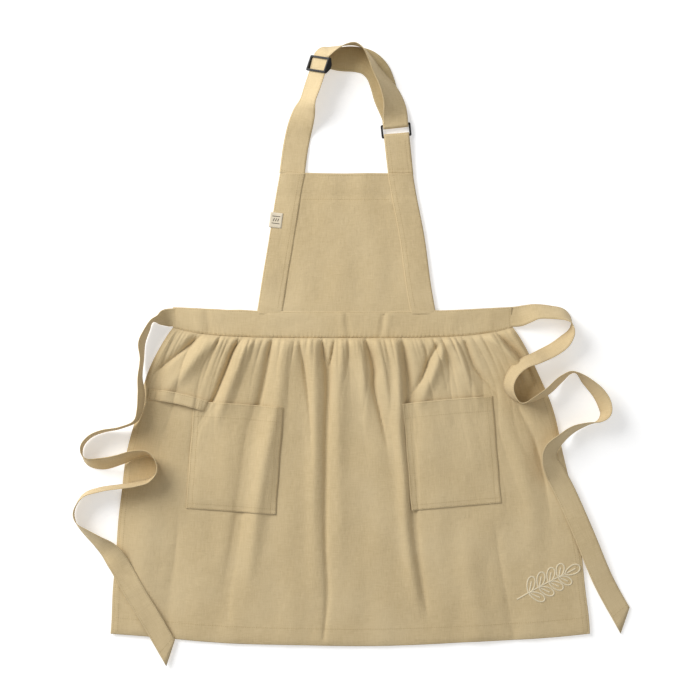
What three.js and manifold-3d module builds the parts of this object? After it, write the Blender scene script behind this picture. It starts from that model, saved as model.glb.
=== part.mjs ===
// A gathered cotton work apron lying face up on a flat surface.
// Millimetres. +X is the wearer's left as seen from the front, +Y runs from hem to neck, +Z is up.
import * as THREE from 'three';
import { mergeVertices } from 'three/addons/utils/BufferGeometryUtils.js';
import Module from 'manifold-3d';

// ---- Cloth and stacking ----
const CLOTH = 1.2;                 // one sewn layer, seam fluff included
const GAP = 0.3;                   // air between two layers that touch
const LAYER = CLOTH + GAP;
const UNDER = 0;                   // underside of the turned hems and the waistband facing
const MIDDLE = LAYER;              // underside of the skirt and bib panels
const OVER = 2 * LAYER;            // underside of everything sewn on the front
const ON_SKIRT = OVER + 0.2;       // what a loose tie rests on where it crosses the skirt
const ON_FLOOR = 0.5;               // loose strips settle this far off the surface

// ---- Waistband and skirt ----
const WAIST_WIDTH = 508;
const WAIST_CENTRE = -16;
const WAISTBAND_BOTTOM = 23.5;
const WAISTBAND_HEIGHT = 40;
const WAISTBAND_END_HEIGHT = 30;
const WAIST_RISE = 11;             // how far the band's ends curl up towards the bib
const HEM_WIDTH = 718;
const HEM_CENTRE = -4.5;
const SKIRT_LENGTH = 462;
const SKIRT_FLARE = 0.45;          // the smaller, the sooner the gathers spread out
const HEM_BOW = 18;                // the middle of the hem hangs lower than its corners
const SEAM_ALLOWANCE = 12;
const BOTTOM_HEM = 30;
const SIDE_HEM = 12;

// ---- Bib ----
const BIB_CENTRE = -10;
const BIB_HEIGHT = 205;
const BIB_TOP_WIDTH = 201;
const BIB_BOTTOM_WIDTH = 267;
const BIB_HEM = 40;
const STRAP_WIDTH = 38;            // the bib's side bands and the neck strap are one folded strip
const LABEL_WIDTH = 20;
const LABEL_LENGTH = 24;
const LABEL_DROP = 58;             // from the bib's top edge to the label's

// ---- Pockets, towel loop and embroidery ----
const POCKET_WIDTH = 135;
const POCKET_HEIGHT = 162;
const POCKET_BULGE = 6;            // how far the pocket's mouth stands open
const POCKETS = [
  { name: 'left_pocket', x: -177, y: -156, turn: -4 },
  { name: 'right_pocket', x: 148, y: -149, turn: 5 },
];
const TOWEL_LOOP_WIDTH = 19;
const TOWEL_LOOP_RISE = 9;
const TOWEL_LOOP_LAP = 20;         // how far the loop's end is sewn over the pocket
const TOWEL_LOOP_SET = 9;          // how far below the pocket's corner its middle is sewn
const TOWEL_LOOP_REST = 22.2135;    // how far in from the pocket's edge it comes down to rest
const TACK_LENGTH = 10;
const SPRIG = { x: 288, y: -346, length: 96, width: 60, leafPairs: 4, thread: 0.6, turn: -62 };

// ---- Slider and ring on the neck strap ----
const BAR = 3;                     // moulded bars are square in section
const SLIDER_LENGTH = 24;
const SLIDER_AT = 165;             // along the left strap, from the bib's top edge
const SLIDER_TILT = -50;           // the strap leans on its outer edge here
const SLIDER_CLEARANCE = 1;
const RING_HEIGHT = 20;
const RING_ABOVE_BIB = 64;
const RING_TURN = 6;
const RING_LIFT = 3;               // free height above the ring's upper bar, which lets it tilt
const RING_SLACK = 0.5;
const FOLDED_END = 34;             // the strap's turned-back end under the right strap

// ---- Ties ----
const TIE_WIDTH = 31;
const TIE_SLANT = 15;              // how much longer one edge is at the cut end
const TIE_CLEARANCE = 12;          // a tie this close to the skirt's edge already lies on the skirt

const DEG = Math.PI / 180;
const UP = new THREE.Vector3(0, 0, 1);
const lerp = THREE.MathUtils.lerp;

const COTTON = { color: '#cdb88e', roughness: 0.92, metalness: 0 };
const COTTON_BACK = { color: '#bfa97e', roughness: 0.92, metalness: 0 };
const WOVEN_LABEL = { color: '#e8dac2', roughness: 0.8, metalness: 0 };
const THREAD = { color: '#f0e2c4', roughness: 0.6, metalness: 0 };
const ACETAL = { color: '#2a2a2a', roughness: 0.45, metalness: 0 };

const wasm = await Module();
wasm.setup();
const apron = new THREE.Group();

function addPiece(name, geometry, finish, parent = apron) {
  const mesh = new THREE.Mesh(geometry, new THREE.MeshStandardMaterial(finish));
  mesh.name = name;
  parent.add(mesh);
  return mesh;
}

// Joins rings of points, each going round one cross-section, into a closed solid with two flat ends.
function loft(rings) {
  const size = rings[0].length;
  const positions = rings.flat().flatMap((p) => [p.x, p.y, p.z]);
  const faces = [];
  for (let r = 0; r + 1 < rings.length; r += 1) {
    for (let i = 0; i < size; i += 1) {
      const a = r * size + i;
      const b = r * size + ((i + 1) % size);
      // Both faces of a twisted strip are split along the same diagonal, so they never cross.
      if (i < size / 2) {
        faces.push(a, b + size, b, a, a + size, b + size);
      } else {
        faces.push(a, a + size, b, a + size, b + size, b);
      }
    }
  }
  const last = (rings.length - 1) * size;
  for (let i = 1; i + 1 < size; i += 1) {
    faces.push(0, i, i + 1, last, last + i + 1, last + i);
  }
  const geometry = new THREE.BufferGeometry();
  geometry.setAttribute('position', new THREE.Float32BufferAttribute(positions, 3));
  geometry.setIndex(faces);
  return geometry;
}

// A layer of cloth: place(u, v) gives its underside, u across from 0 to 1 and v upwards from 0 to 1.
function layer(place, across, along, thickness = CLOTH) {
  const rings = [];
  for (let j = 0; j <= along; j += 1) {
    const under = [];
    const over = [];
    for (let i = 0; i <= across; i += 1) {
      const p = place(i / across, j / along);
      under.push(p);
      over.unshift(new THREE.Vector3(p.x, p.y, p.z + thickness));
    }
    rings.push([...under, ...over]);
  }
  return closeLayer(rings, across);
}

// The rings of a layer are long and thin, so its ends are closed by quads and not by one fan.
function closeLayer(rings, across) {
  const size = rings[0].length;
  const geometry = loft(rings);
  const sides = Array.from(geometry.index.array).slice(0, (rings.length - 1) * size * 6);
  const last = (rings.length - 1) * size;
  for (let i = 0; i < across; i += 1) {
    const [a, b, c, d] = [i, i + 1, size - 2 - i, size - 1 - i];
    sides.push(a, b, c, a, c, d);
    sides.push(last + a, last + c, last + b, last + a, last + d, last + c);
  }
  geometry.setIndex(sides);
  return geometry;
}

// A strip of cloth through frames, each a middle point and the unit vector across the strip.
function strip(frames, width, thickness = CLOTH) {
  const rings = frames.map(({ p, across, halves, slant = 0 }, i) => {
    const before = frames[Math.max(i - 1, 0)].p;
    const after = frames[Math.min(i + 1, frames.length - 1)].p;
    const along = after.clone().sub(before).normalize();
    const face = along.clone().cross(across).normalize().multiplyScalar(thickness / 2);
    const [left, right] = halves ?? [width / 2, width / 2];
    const l = p.clone().addScaledVector(across, left).addScaledVector(along, -slant / 2);
    const r = p.clone().addScaledVector(across, -right).addScaledVector(along, slant / 2);
    return [
      l.clone().add(face),
      l.clone().sub(face),
      r.clone().sub(face),
      r.clone().add(face),
    ];
  });
  return loft(rings);
}

// Frames along a loose strip. Each station is x, y, roll in degrees, the height it rests on and,
// where the strip is pinched, its width. Roll 0 lies flat; at -90 its right edge stands straight up.
function lay(stations, width, steps = 2) {
  const middle = ([x, y, roll, rest, wide = width]) => {
    const lift = (wide / 2) * Math.abs(Math.sin(roll * DEG));
    const half = (CLOTH / 2) * Math.abs(Math.cos(roll * DEG));
    return new THREE.Vector3(x, y, rest + lift + half);
  };
  const curve = new THREE.CatmullRomCurve3(stations.map(middle), false, 'centripetal');
  const count = (stations.length - 1) * steps;
  const frames = [];
  for (let i = 0; i <= count; i += 1) {
    const at = Math.min(Math.floor(i / steps), stations.length - 2);
    const share = i / steps - at;
    const roll = lerp(stations[at][2], stations[at + 1][2], share) * DEG;
    const wide = lerp(stations[at][4] ?? width, stations[at + 1][4] ?? width, share);
    const along = curve.getTangent(i / count).setZ(0).normalize();
    const left = UP.clone().cross(along);
    const across = left.multiplyScalar(Math.cos(roll)).addScaledVector(UP, Math.sin(roll));
    frames.push({ p: curve.getPoint(i / count), across, halves: [wide / 2, wide / 2] });
  }
  return frames;
}

// ---- Waistband ----
// u runs along the band from its left end to its right; v runs up from its lower edge.
function onWaistband(u, v, z) {
  const side = 2 * u - 1;
  const curl = side ** 4;
  const height = lerp(WAISTBAND_HEIGHT, WAISTBAND_END_HEIGHT, side ** 8);
  const middle = WAISTBAND_BOTTOM + WAISTBAND_HEIGHT / 2 + WAIST_RISE * curl;
  return new THREE.Vector3(WAIST_CENTRE + (side * WAIST_WIDTH) / 2, middle + (v - 0.5) * height, z);
}

function addWaistband() {
  addPiece('waistband_facing', layer((u, v) => onWaistband(u, v, UNDER), 20, 1), COTTON_BACK);
  addPiece('waistband_front', layer((u, v) => onWaistband(u, v, OVER), 20, 1), COTTON);
}

// ---- Skirt ----
// Half the skirt's width flares quickly below the gathers and then slowly. drop is 0 at the band
// and 1 at the hem.
function skirtEdge(side, drop) {
  const flare = ((1 + SKIRT_FLARE) * drop) / (drop + SKIRT_FLARE);
  const half = lerp(WAIST_WIDTH, HEM_WIDTH, flare) / 2;
  return lerp(WAIST_CENTRE, HEM_CENTRE, drop) + side * half;
}

function onSkirt(side, drop, z, inset = 0) {
  const top = onWaistband((side + 1) / 2, 0, z).y;
  const bottom = WAISTBAND_BOTTOM - SKIRT_LENGTH + HEM_BOW * side ** 2;
  const inner = Math.sign(side) * inset;
  return new THREE.Vector3(skirtEdge(side, drop) - inner, lerp(top, bottom, drop), z);
}

function addSkirt() {
  // The last row of the panel is tucked up between the waistband's two layers.
  const rows = 14;
  const panel = (u, v) => {
    const row = Math.round(v * (rows + 1));
    const tucked = row > rows;
    const side = (2 * u - 1) * (tucked ? 0.98 : 1);
    const p = onSkirt(side, tucked ? 0 : 1 - row / rows, MIDDLE);
    p.y += tucked ? SEAM_ALLOWANCE : 0;
    return p;
  };
  addPiece('skirt_panel', layer(panel, 20, rows + 1), COTTON);

  const hemShare = BOTTOM_HEM / SKIRT_LENGTH;
  const bottomHem = (u, v) => onSkirt(2 * u - 1, 1 - v * hemShare, UNDER);
  addPiece('skirt_bottom_hem', layer(bottomHem, 20, 1), COTTON_BACK);

  for (const [name, side] of [['skirt_left_hem', -1], ['skirt_right_hem', 1]]) {
    const top = (SIDE_HEM / 2) / SKIRT_LENGTH;
    const bottom = 1 - hemShare - 2 * GAP / SKIRT_LENGTH;
    const sideHem = (u, v) => {
      const drop = lerp(bottom, top, v);
      const inset = side < 0 ? u * SIDE_HEM : (1 - u) * SIDE_HEM;
      return onSkirt(side, drop, UNDER, inset);
    };
    addPiece(name, layer(sideHem, 1, 12), COTTON_BACK);
  }
}

// ---- Pockets: patches sewn down at the sides and the bottom, standing open at the mouth ----
function pocketUnderside(u, v) {
  const rise = Math.min(1, 3 * Math.min(u, 1 - u)) * Math.min(1, 3 * v);
  return OVER + POCKET_BULGE * Math.sin((rise * Math.PI) / 2);
}

function addPockets() {
  for (const { name, x, y, turn } of POCKETS) {
    const bulge = (u, v) => new THREE.Vector3(
      (u - 0.5) * POCKET_WIDTH,
      (v - 0.5) * POCKET_HEIGHT,
      pocketUnderside(u, v),
    );
    const pocket = addPiece(name, layer(bulge, 12, 8), COTTON);
    pocket.position.set(x, y, 0);
    pocket.rotation.z = turn * DEG;
  }
}

// ---- Towel loop, from the skirt's left hem to the left pocket's upper corner ----
function addTowelLoop() {
  const { x, y, turn } = POCKETS[0];
  const start = new THREE.Vector2(skirtEdge(-1, 0.235) + 12, -62);
  const corner = new THREE.Vector2(-POCKET_WIDTH / 2, POCKET_HEIGHT / 2).rotateAround(
    new THREE.Vector2(), turn * DEG);
  const end = corner.add(new THREE.Vector2(x + TOWEL_LOOP_LAP, y - TOWEL_LOOP_SET));
  const foot = 12;
  const run = end.clone().sub(start);
  const length = run.length();
  const direction = run.normalize();
  const across = new THREE.Vector3(-direction.y, direction.x, 0);
  const onPocket = pocketUnderside(TOWEL_LOOP_REST / POCKET_WIDTH, 1) + LAYER;
  const frames = [];
  const steps = 16;
  for (let i = 0; i <= steps; i += 1) {
    const s = (length * i) / steps;
    const arch = Math.sin(Math.PI * THREE.MathUtils.clamp((s - foot) / (length - 2 * foot), 0, 1));
    const base = lerp(OVER, onPocket, THREE.MathUtils.smoothstep(s, 0.45 * length, 0.8 * length));
    const z = base + CLOTH / 2 + TOWEL_LOOP_RISE * arch ** 0.7;
    frames.push({ p: new THREE.Vector3(start.x + direction.x * s, start.y + direction.y * s, z), across });
  }
  addPiece('towel_loop', strip(frames, TOWEL_LOOP_WIDTH), COTTON);

  const tack = new THREE.BoxGeometry(2, TACK_LENGTH, 0.6);
  const tackAt = frames[steps].p.clone();
  const stitches = addPiece('towel_loop_tack', tack, THREAD);
  stitches.position.set(tackAt.x - 4 * direction.x, tackAt.y - 4 * direction.y, tackAt.z + CLOTH / 2 + 0.65);
  stitches.rotation.z = Math.atan2(direction.y, direction.x);
}

// ---- Embroidery: one leafy sprig, its outline scalloped into leaf pairs ----
function addSprig() {
  const half = (s) => {
    const taper = Math.sin(Math.PI * Math.min(1, 0.18 + 0.82 * s)) ** 0.6;
    return 1.2 + (SPRIG.width / 2) * taper * Math.abs(Math.sin(Math.PI * SPRIG.leafPairs * s)) ** 0.8;
  };
  const steps = 48;
  const side = Array.from({ length: steps + 1 }, (_, i) => {
    const s = i / steps;
    return new THREE.Vector2((s - 0.5) * SPRIG.length, half(s));
  });
  const outline = [...side.map((p) => new THREE.Vector2(p.x, -p.y)), ...side.reverse()];
  const geometry = new THREE.ExtrudeGeometry(new THREE.Shape(outline), {
    depth: SPRIG.thread,
    bevelEnabled: false,
  });
  const sprig = addPiece('embroidered_sprig', geometry, THREAD);
  sprig.position.set(SPRIG.x, SPRIG.y, OVER);
  sprig.rotation.z = (90 + SPRIG.turn) * DEG;
}

// ---- Bib ----
const waistbandTopAt = (x) => onWaistband((x - WAIST_CENTRE) / WAIST_WIDTH + 0.5, 1, 0).y;
const bibCorners = [BIB_CENTRE - BIB_BOTTOM_WIDTH / 2, BIB_CENTRE + BIB_BOTTOM_WIDTH / 2];
const bibBottom = Math.max(...bibCorners.map(waistbandTopAt)) + GAP;
const bibTop = bibBottom + BIB_HEIGHT;

function bibHalf(v) {
  return lerp(BIB_BOTTOM_WIDTH, BIB_TOP_WIDTH, v) / 2;
}

function addBib() {
  const panel = (u, v) => new THREE.Vector3(
    BIB_CENTRE + (2 * u - 1) * (bibHalf(v) - 1),
    lerp(bibBottom, bibTop, v),
    MIDDLE,
  );
  addPiece('bib_panel', layer(panel, 6, 4), COTTON);

  const hemFrom = 1 - BIB_HEM / BIB_HEIGHT;
  const hem = (u, v) => panel(u, lerp(hemFrom, 1, v)).setZ(UNDER);
  addPiece('bib_top_hem', layer(hem, 4, 1), COTTON_BACK);

  for (const [name, side] of [['left_bib_band', -1], ['right_bib_band', 1]]) {
    const band = (u, v) => {
      const inward = side < 0 ? u : 1 - u;
      const x = BIB_CENTRE + side * (bibHalf(v) - inward * STRAP_WIDTH);
      return new THREE.Vector3(x, lerp(bibBottom, bibTop, v), OVER);
    };
    addPiece(name, layer(band, 1, 4), COTTON);
  }

  const lean = Math.atan2((BIB_BOTTOM_WIDTH - BIB_TOP_WIDTH) / 2, BIB_HEIGHT);
  const v = 1 - LABEL_DROP / BIB_HEIGHT;
  const label = addPiece('woven_label', new THREE.BoxGeometry(LABEL_WIDTH, LABEL_LENGTH, 0.8), WOVEN_LABEL);
  label.position.set(
    BIB_CENTRE - bibHalf(v) + LABEL_WIDTH / 2 + 1,
    bibTop - LABEL_DROP - LABEL_LENGTH / 2,
    OVER + CLOTH + GAP + 0.4,
  );
  label.rotation.z = -lean;
}

// ---- Neck strap, slider and ring. Their group stands on the middle of the bib's top edge ----
const strapFoot = BIB_TOP_WIDTH / 2 - STRAP_WIDTH / 2;
const straightFrom = new THREE.Vector2(-strapFoot + 11.5, 69);
const straightRun = new THREE.Vector2(1, 3).normalize();
const sliderSpan = STRAP_WIDTH + 2 * (SLIDER_CLEARANCE + BAR);
const sliderRest = 6;

function neckGroup() {
  const neck = new THREE.Group();
  neck.position.set(BIB_CENTRE, bibTop + GAP, 0);
  apron.add(neck);
  return neck;
}

// A point on the straight stretch, that far along the left strap from the bib's top edge.
function onStraight(reach) {
  const along = reach - straightFrom.y;
  return straightFrom.clone().addScaledVector(straightRun, along);
}

// The way the strap's front faces where it leans in the slider.
function leaningFace() {
  const lean = Math.sin(-SLIDER_TILT * DEG);
  return new THREE.Vector3(-straightRun.y * lean, straightRun.x * lean, Math.cos(SLIDER_TILT * DEG));
}

const ringAt = new THREE.Vector3(strapFoot - 7, RING_ABOVE_BIB, CLOTH / 2 + ON_FLOOR + RING_SLACK + BAR / 2 + CLOTH / 2);
const ringBarAt = (RING_HEIGHT - BAR) / 2;

// Frames of a strip that turns back round one bar of the ring, in the ring's own upright plane.
function foldRound(barY, bend, over, under, legOver, legUnder) {
  const top = ringAt.z + BAR / 2 + over + CLOTH / 2;
  const bottom = ringAt.z - BAR / 2 - under - CLOTH / 2;
  const radius = (top - bottom) / 2;
  const turn = RING_TURN * DEG;
  const across = new THREE.Vector3(Math.cos(turn), Math.sin(turn), 0);
  const at = (y, z) => {
    const p = new THREE.Vector2(0, y).rotateAround(new THREE.Vector2(), turn);
    return { p: new THREE.Vector3(ringAt.x + p.x, ringAt.y + p.y, z), across };
  };
  const frames = [at(legOver, top)];
  const steps = 8;
  for (let i = 0; i <= steps; i += 1) {
    const angle = (Math.PI * i) / steps;
    const y = barY + bend * (BAR / 2 - 0.2 * radius + radius * Math.sin(angle));
    frames.push(at(y, (top + bottom) / 2 + radius * Math.cos(angle)));
  }
  frames.push(at(legUnder, bottom));
  return frames;
}

function addNeckStrap(neck) {
  const slider = [onStraight(108), onStraight(SLIDER_AT - 12), onStraight(SLIDER_AT + 17)];
  const leftStrap = lay([
    [-strapFoot, 0, 0, OVER],
    [-strapFoot + 2, 14, 0, 1.2],
    [-strapFoot + 5, 36, 0, 0.5],
    [straightFrom.x - 1.5, straightFrom.y - 8, 0, 0.7],
    [onStraight(90).x, onStraight(90).y, SLIDER_TILT / 2, 2.5],
    [slider[0].x, slider[0].y, SLIDER_TILT, sliderRest],
    [slider[1].x, slider[1].y, SLIDER_TILT, sliderRest],
    [slider[2].x, slider[2].y, SLIDER_TILT, sliderRest],
    [-25, 181, -64, 5],
    [-13, 186, -76, 3],
    [0, 190, -84, 2.3],
    [13, 191, -88, 2.3],
    [25, 185, -84, 2.3],
    [36, 170, -77, 2.3],
    [45, 153, -69, 2.3],
    [57, 135, -58, 2.5],
    [67, 116, -43, 3],
    [72, 99, -28, 4.5],
    [ringAt.x - 1.5, ringAt.y + 19, -8, 6.5],
  ], STRAP_WIDTH);
  leftStrap[0].across.set(-1, 0, 0);
  const foldOver = foldRound(ringBarAt, -1, RING_LIFT, RING_SLACK, ringBarAt + 2, ringBarAt + 4);
  for (const frame of foldOver) {
    frame.across = frame.across.clone().negate();
  }
  const outer = [...leftStrap, ...foldOver];
  addPiece('neck_strap_outer', strip(outer, STRAP_WIDTH), COTTON, neck);

  const foldEnd = foldOver[foldOver.length - 1].p;
  const face = leaningFace();
  const under = BAR + SLIDER_CLEARANCE + CLOTH + GAP;
  const sewnEnd = [onStraight(SLIDER_AT + 10), onStraight(SLIDER_AT)].map(({ x, y }) => {
    const rest = sliderRest - face.z * under;
    return [x - face.x * under, y - face.y * under, -SLIDER_TILT, rest];
  });
  const turn = RING_TURN * DEG;
  const back = lay([
    [foldEnd.x - GAP * Math.sin(turn), foldEnd.y + GAP * Math.cos(turn), 0, ON_FLOOR],
    [foldEnd.x - 8 * Math.sin(turn), foldEnd.y + 8 * Math.cos(turn), 0, ON_FLOOR],
    [60, 114, 0, ON_FLOOR],
    [54, 135, 0, ON_FLOOR],
    [45, 152, 0, ON_FLOOR],
    [31, 163, 0, ON_FLOOR],
    [13, 168, 0, ON_FLOOR],
    [-5, 169, 8, ON_FLOOR],
    [-21, 169, 26, ON_FLOOR],
    ...sewnEnd,
  ], STRAP_WIDTH);
  addPiece('neck_strap_return', strip(back, STRAP_WIDTH), COTTON, neck);
}

function addRightStrap(neck) {
  const foldUnder = foldRound(-ringBarAt, 1, RING_SLACK, RING_SLACK, -ringBarAt - 4, -ringBarAt - FOLDED_END);
  const foot = {
    p: new THREE.Vector3(strapFoot, 0, OVER + CLOTH / 2),
    across: new THREE.Vector3(1, 0, 0),
  };
  const rise = {
    p: foot.p.clone().lerp(foldUnder[0].p, 0.4).setZ(OVER + CLOTH / 2 + 0.6),
    across: foldUnder[0].across,
  };
  addPiece('right_strap', strip([foot, rise, ...foldUnder], STRAP_WIDTH), COTTON, neck);
}

// The ring: a moulded rectangle with rounded corners.
function addRing(neck) {
  const span = STRAP_WIDTH + 2 * (RING_SLACK + BAR);
  const outline = roundedRectangle(span, RING_HEIGHT, 2.2);
  outline.holes.push(roundedRectangle(span - 2 * BAR, RING_HEIGHT - 2 * BAR, 0.4));
  const geometry = new THREE.ExtrudeGeometry(outline, { depth: BAR, bevelEnabled: false, curveSegments: 3 });
  geometry.translate(0, 0, -BAR / 2);
  const ring = addPiece('strap_ring', geometry, ACETAL, neck);
  ring.position.copy(ringAt);
  ring.rotation.z = RING_TURN * DEG;
}

function roundedRectangle(width, height, corner) {
  const [w, h] = [width / 2, height / 2];
  const shape = new THREE.Shape();
  shape.moveTo(-w + corner, -h);
  shape.lineTo(w - corner, -h);
  shape.absarc(w - corner, -h + corner, corner, -Math.PI / 2, 0);
  shape.lineTo(w, h - corner);
  shape.absarc(w - corner, h - corner, corner, 0, Math.PI / 2);
  shape.lineTo(-w + corner, h);
  shape.absarc(-w + corner, h - corner, corner, Math.PI / 2, Math.PI);
  shape.lineTo(-w, -h + corner);
  shape.absarc(-w + corner, -h + corner, corner, Math.PI, 1.5 * Math.PI);
  return shape;
}

function asSolid(geometry) {
  const bare = geometry.clone();
  bare.deleteAttribute('normal');
  bare.deleteAttribute('uv');
  const merged = mergeVertices(bare, 1e-4);
  return new wasm.Manifold(new wasm.Mesh({
    numProp: 3,
    vertProperties: merged.attributes.position.array,
    triVerts: new Uint32Array(merged.index.array),
  }));
}

function asGeometry(solid) {
  const { vertProperties, triVerts } = solid.getMesh();
  const geometry = new THREE.BufferGeometry();
  geometry.setAttribute('position', new THREE.BufferAttribute(vertProperties, 3));
  geometry.setIndex(new THREE.BufferAttribute(triVerts, 1));
  return geometry;
}

// The three-bar slider: its two outer bars lie over the strap and its middle bar lies under it.
// Made with X across the strap, Y along it and Z out of its face.
function addSlider(neck) {
  const slot = CLOTH / 2 + SLIDER_CLEARANCE;
  const depth = slot + BAR;
  const end = SLIDER_LENGTH / 2;
  const cheek = new THREE.Shape([
    new THREE.Vector2(-end, slot - 1),
    new THREE.Vector2(-BAR, -depth),
    new THREE.Vector2(BAR, -depth),
    new THREE.Vector2(end, slot - 1),
    new THREE.Vector2(end, depth - 1),
    new THREE.Vector2(end - 1, depth),
    new THREE.Vector2(1 - end, depth),
    new THREE.Vector2(-end, depth - 1),
  ]);
  const block = new THREE.ExtrudeGeometry(cheek, { depth: sliderSpan, bevelEnabled: false });
  block.translate(0, 0, -sliderSpan / 2);
  block.rotateY(Math.PI / 2);
  block.rotateX(Math.PI / 2);
  const inside = sliderSpan - 2 * BAR;
  const wide = 2 * SLIDER_LENGTH;
  const cuts = [
    [0, wide, -slot, slot],
    [0, SLIDER_LENGTH - 2 * BAR, 0, wide],
    [-wide / 2 - BAR / 2, wide, -wide, 0],
    [wide / 2 + BAR / 2, wide, -wide, 0],
  ];
  let solid = asSolid(block);
  for (const [y, length, low, high] of cuts) {
    const box = new THREE.BoxGeometry(inside, length, high - low);
    box.translate(0, y, (low + high) / 2);
    solid = solid.subtract(asSolid(box));
  }
  const slider = addPiece('strap_slider', asGeometry(solid), ACETAL, neck);
  const along = new THREE.Vector3(straightRun.x, straightRun.y, 0);
  const out = leaningFace();
  const spot = onStraight(SLIDER_AT);
  const height = sliderRest + (STRAP_WIDTH / 2) * Math.sin(-SLIDER_TILT * DEG) + (CLOTH / 2) * out.z;
  slider.position.set(spot.x, spot.y, height);
  slider.rotation.setFromRotationMatrix(
    new THREE.Matrix4().makeBasis(along.clone().cross(out), along, out));
}

// ---- Ties. Their stations are measured from the middle of the waistband's end ----
const LEFT_TIE = [
  [-GAP, 0, 0, MIDDLE, 26], [-8, -1, -20, 1, 28], [-18, -4, -60, 0.6], [-30, -6, -85, ON_FLOOR],
  [-38, -20, -80, ON_FLOOR], [-45, -39, -77, ON_FLOOR], [-45, -62, -85, ON_FLOOR],
  [-47, -90, -82, ON_SKIRT], [-45, -114, -77, ON_SKIRT], [-47, -137, -80, ON_SKIRT],
  [-54, -155, -85, ON_SKIRT], [-76, -165, -84, ON_SKIRT], [-104, -171, -82, ON_FLOOR],
  [-123, -179, -84, ON_FLOOR], [-134, -192, -88, ON_FLOOR], [-134, -207, -97, ON_FLOOR],
  [-125, -217, -112, ON_FLOOR], [-105, -219, -125, ON_FLOOR], [-79, -213, -122, ON_SKIRT],
  [-56, -205, -116, ON_SKIRT], [-36, -204, -106, ON_SKIRT], [-24, -215, -95, ON_SKIRT],
  [-22, -230, -92, ON_SKIRT], [-33, -243, -96, ON_SKIRT], [-52, -249, -99, ON_SKIRT],
  [-80, -253, -100, ON_SKIRT], [-110, -258, -100, ON_FLOOR], [-130, -265, -97, ON_FLOOR],
  [-142, -278, -95, ON_FLOOR], [-147, -294, -95, ON_FLOOR], [-142, -309, -100, 0.8],
  [-128, -322, -113, 2.2], [-111, -335, -130, ON_SKIRT], [-94, -350, -158, 4.2],
  [-81, -368, -180, 4.4], [-57, -411, -180, ON_SKIRT], [-30, -456, -180, ON_SKIRT],
  [-3, -503, -180, ON_SKIRT],
];
const RIGHT_TIE = [
  [GAP, 0, 0, MIDDLE, 29], [10, 1, -10, 1.2], [21, 4, -25, 0.6], [36, 8, -42, ON_FLOOR],
  [58, 7, -50, ON_FLOOR], [76, 4, -58, ON_FLOOR], [87, -6, -80, ON_FLOOR], [88, -21, -105, ON_FLOOR],
  [78, -36, -125, ON_FLOOR], [59, -50, -128, 1.5], [38, -60, -125, ON_SKIRT],
  [17, -69, -120, ON_SKIRT], [1, -83, -118, ON_SKIRT], [-6, -101, -115, ON_SKIRT],
  [-1, -117, -103, ON_SKIRT], [12, -128, -92, ON_SKIRT], [29, -124, -105, ON_SKIRT],
  [50, -112, -112, ON_SKIRT], [72, -93, -110, 1.5], [86, -83, -100, ON_FLOOR],
  [96, -83, -92, ON_FLOOR], [110, -95, -110, ON_FLOOR], [128, -113, -122, ON_FLOOR],
  [138, -131, -125, ON_FLOOR], [139, -144, -115, ON_FLOOR], [130, -155, -95, ON_FLOOR],
  [112, -160, -80, ON_FLOOR], [92, -167, -68, 1.6], [74, -180, -60, ON_SKIRT],
  [57, -198, -45, ON_SKIRT], [56, -215, -35, ON_SKIRT], [66, -236, -10, ON_SKIRT],
  [80, -263, 0, ON_SKIRT], [107, -324, 0, 3.8], [137, -395, 0, 2], [170, -455, 0, ON_FLOOR],
];

// A station over the skirt can't rest lower than the skirt's face.
function restOnSkirt([x, y, roll, rest, wide], end) {
  const drop = -(y + WAISTBAND_END_HEIGHT / 2) / SKIRT_LENGTH;
  const lean = (TIE_WIDTH / 2) * Math.abs(Math.cos(roll * DEG));
  const reach = (skirtEdge(1, drop) - skirtEdge(-1, drop)) / 2 + lean + TIE_CLEARANCE;
  const over = drop > 0.05 && drop < 1 && Math.abs(end.x + x - skirtEdge(0, drop)) < reach;
  return [x, y, roll, over ? Math.max(rest, ON_SKIRT) : rest, wide];
}

function addTies() {
  const waistEnd = (u) => onWaistband(u, 0.5, 0);
  for (const [name, stations, u] of [['left_tie', LEFT_TIE, 0], ['right_tie', RIGHT_TIE, 1]]) {
    const rested = stations.map((station) => restOnSkirt(station, waistEnd(u)));
    const frames = lay(rested, TIE_WIDTH, 3);
    frames[0].across.set(0, u === 0 ? -1 : 1, 0);
    frames[frames.length - 1].slant = u === 0 ? -TIE_SLANT : TIE_SLANT;
    const tie = addPiece(name, strip(frames, TIE_WIDTH), COTTON);
    tie.position.copy(waistEnd(u));
  }
}

// The origin is under the middle of the whole piece as it lies, on the surface that it lies on.
function centreOnOrigin() {
  apron.updateMatrixWorld(true);
  const box = new THREE.Box3().setFromObject(apron, true);
  const middle = box.getCenter(new THREE.Vector3());
  apron.position.set(-middle.x, -middle.y, -box.min.z);
}

const neck = neckGroup();
addWaistband();
addSkirt();
addPockets();
addTowelLoop();
addSprig();
addBib();
addNeckStrap(neck);
addRightStrap(neck);
addRing(neck);
addSlider(neck);
addTies();
centreOnOrigin();

export default apron;
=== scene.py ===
# %% [markdown]
# # A gathered cotton apron, laid out flat
# The frame holds the apron's real sizes, its slider and ring, and where it folds. Here the cloth gets
# its true shape: a skirt gathered into a waistband, a bib, patch pockets and long loose ties. The
# frame is loaded first, because every piece of cloth is placed from it; the skirt's pieces and a few of the
# bib's move with one of its parts.

# %% Load the frame
import math

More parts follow.
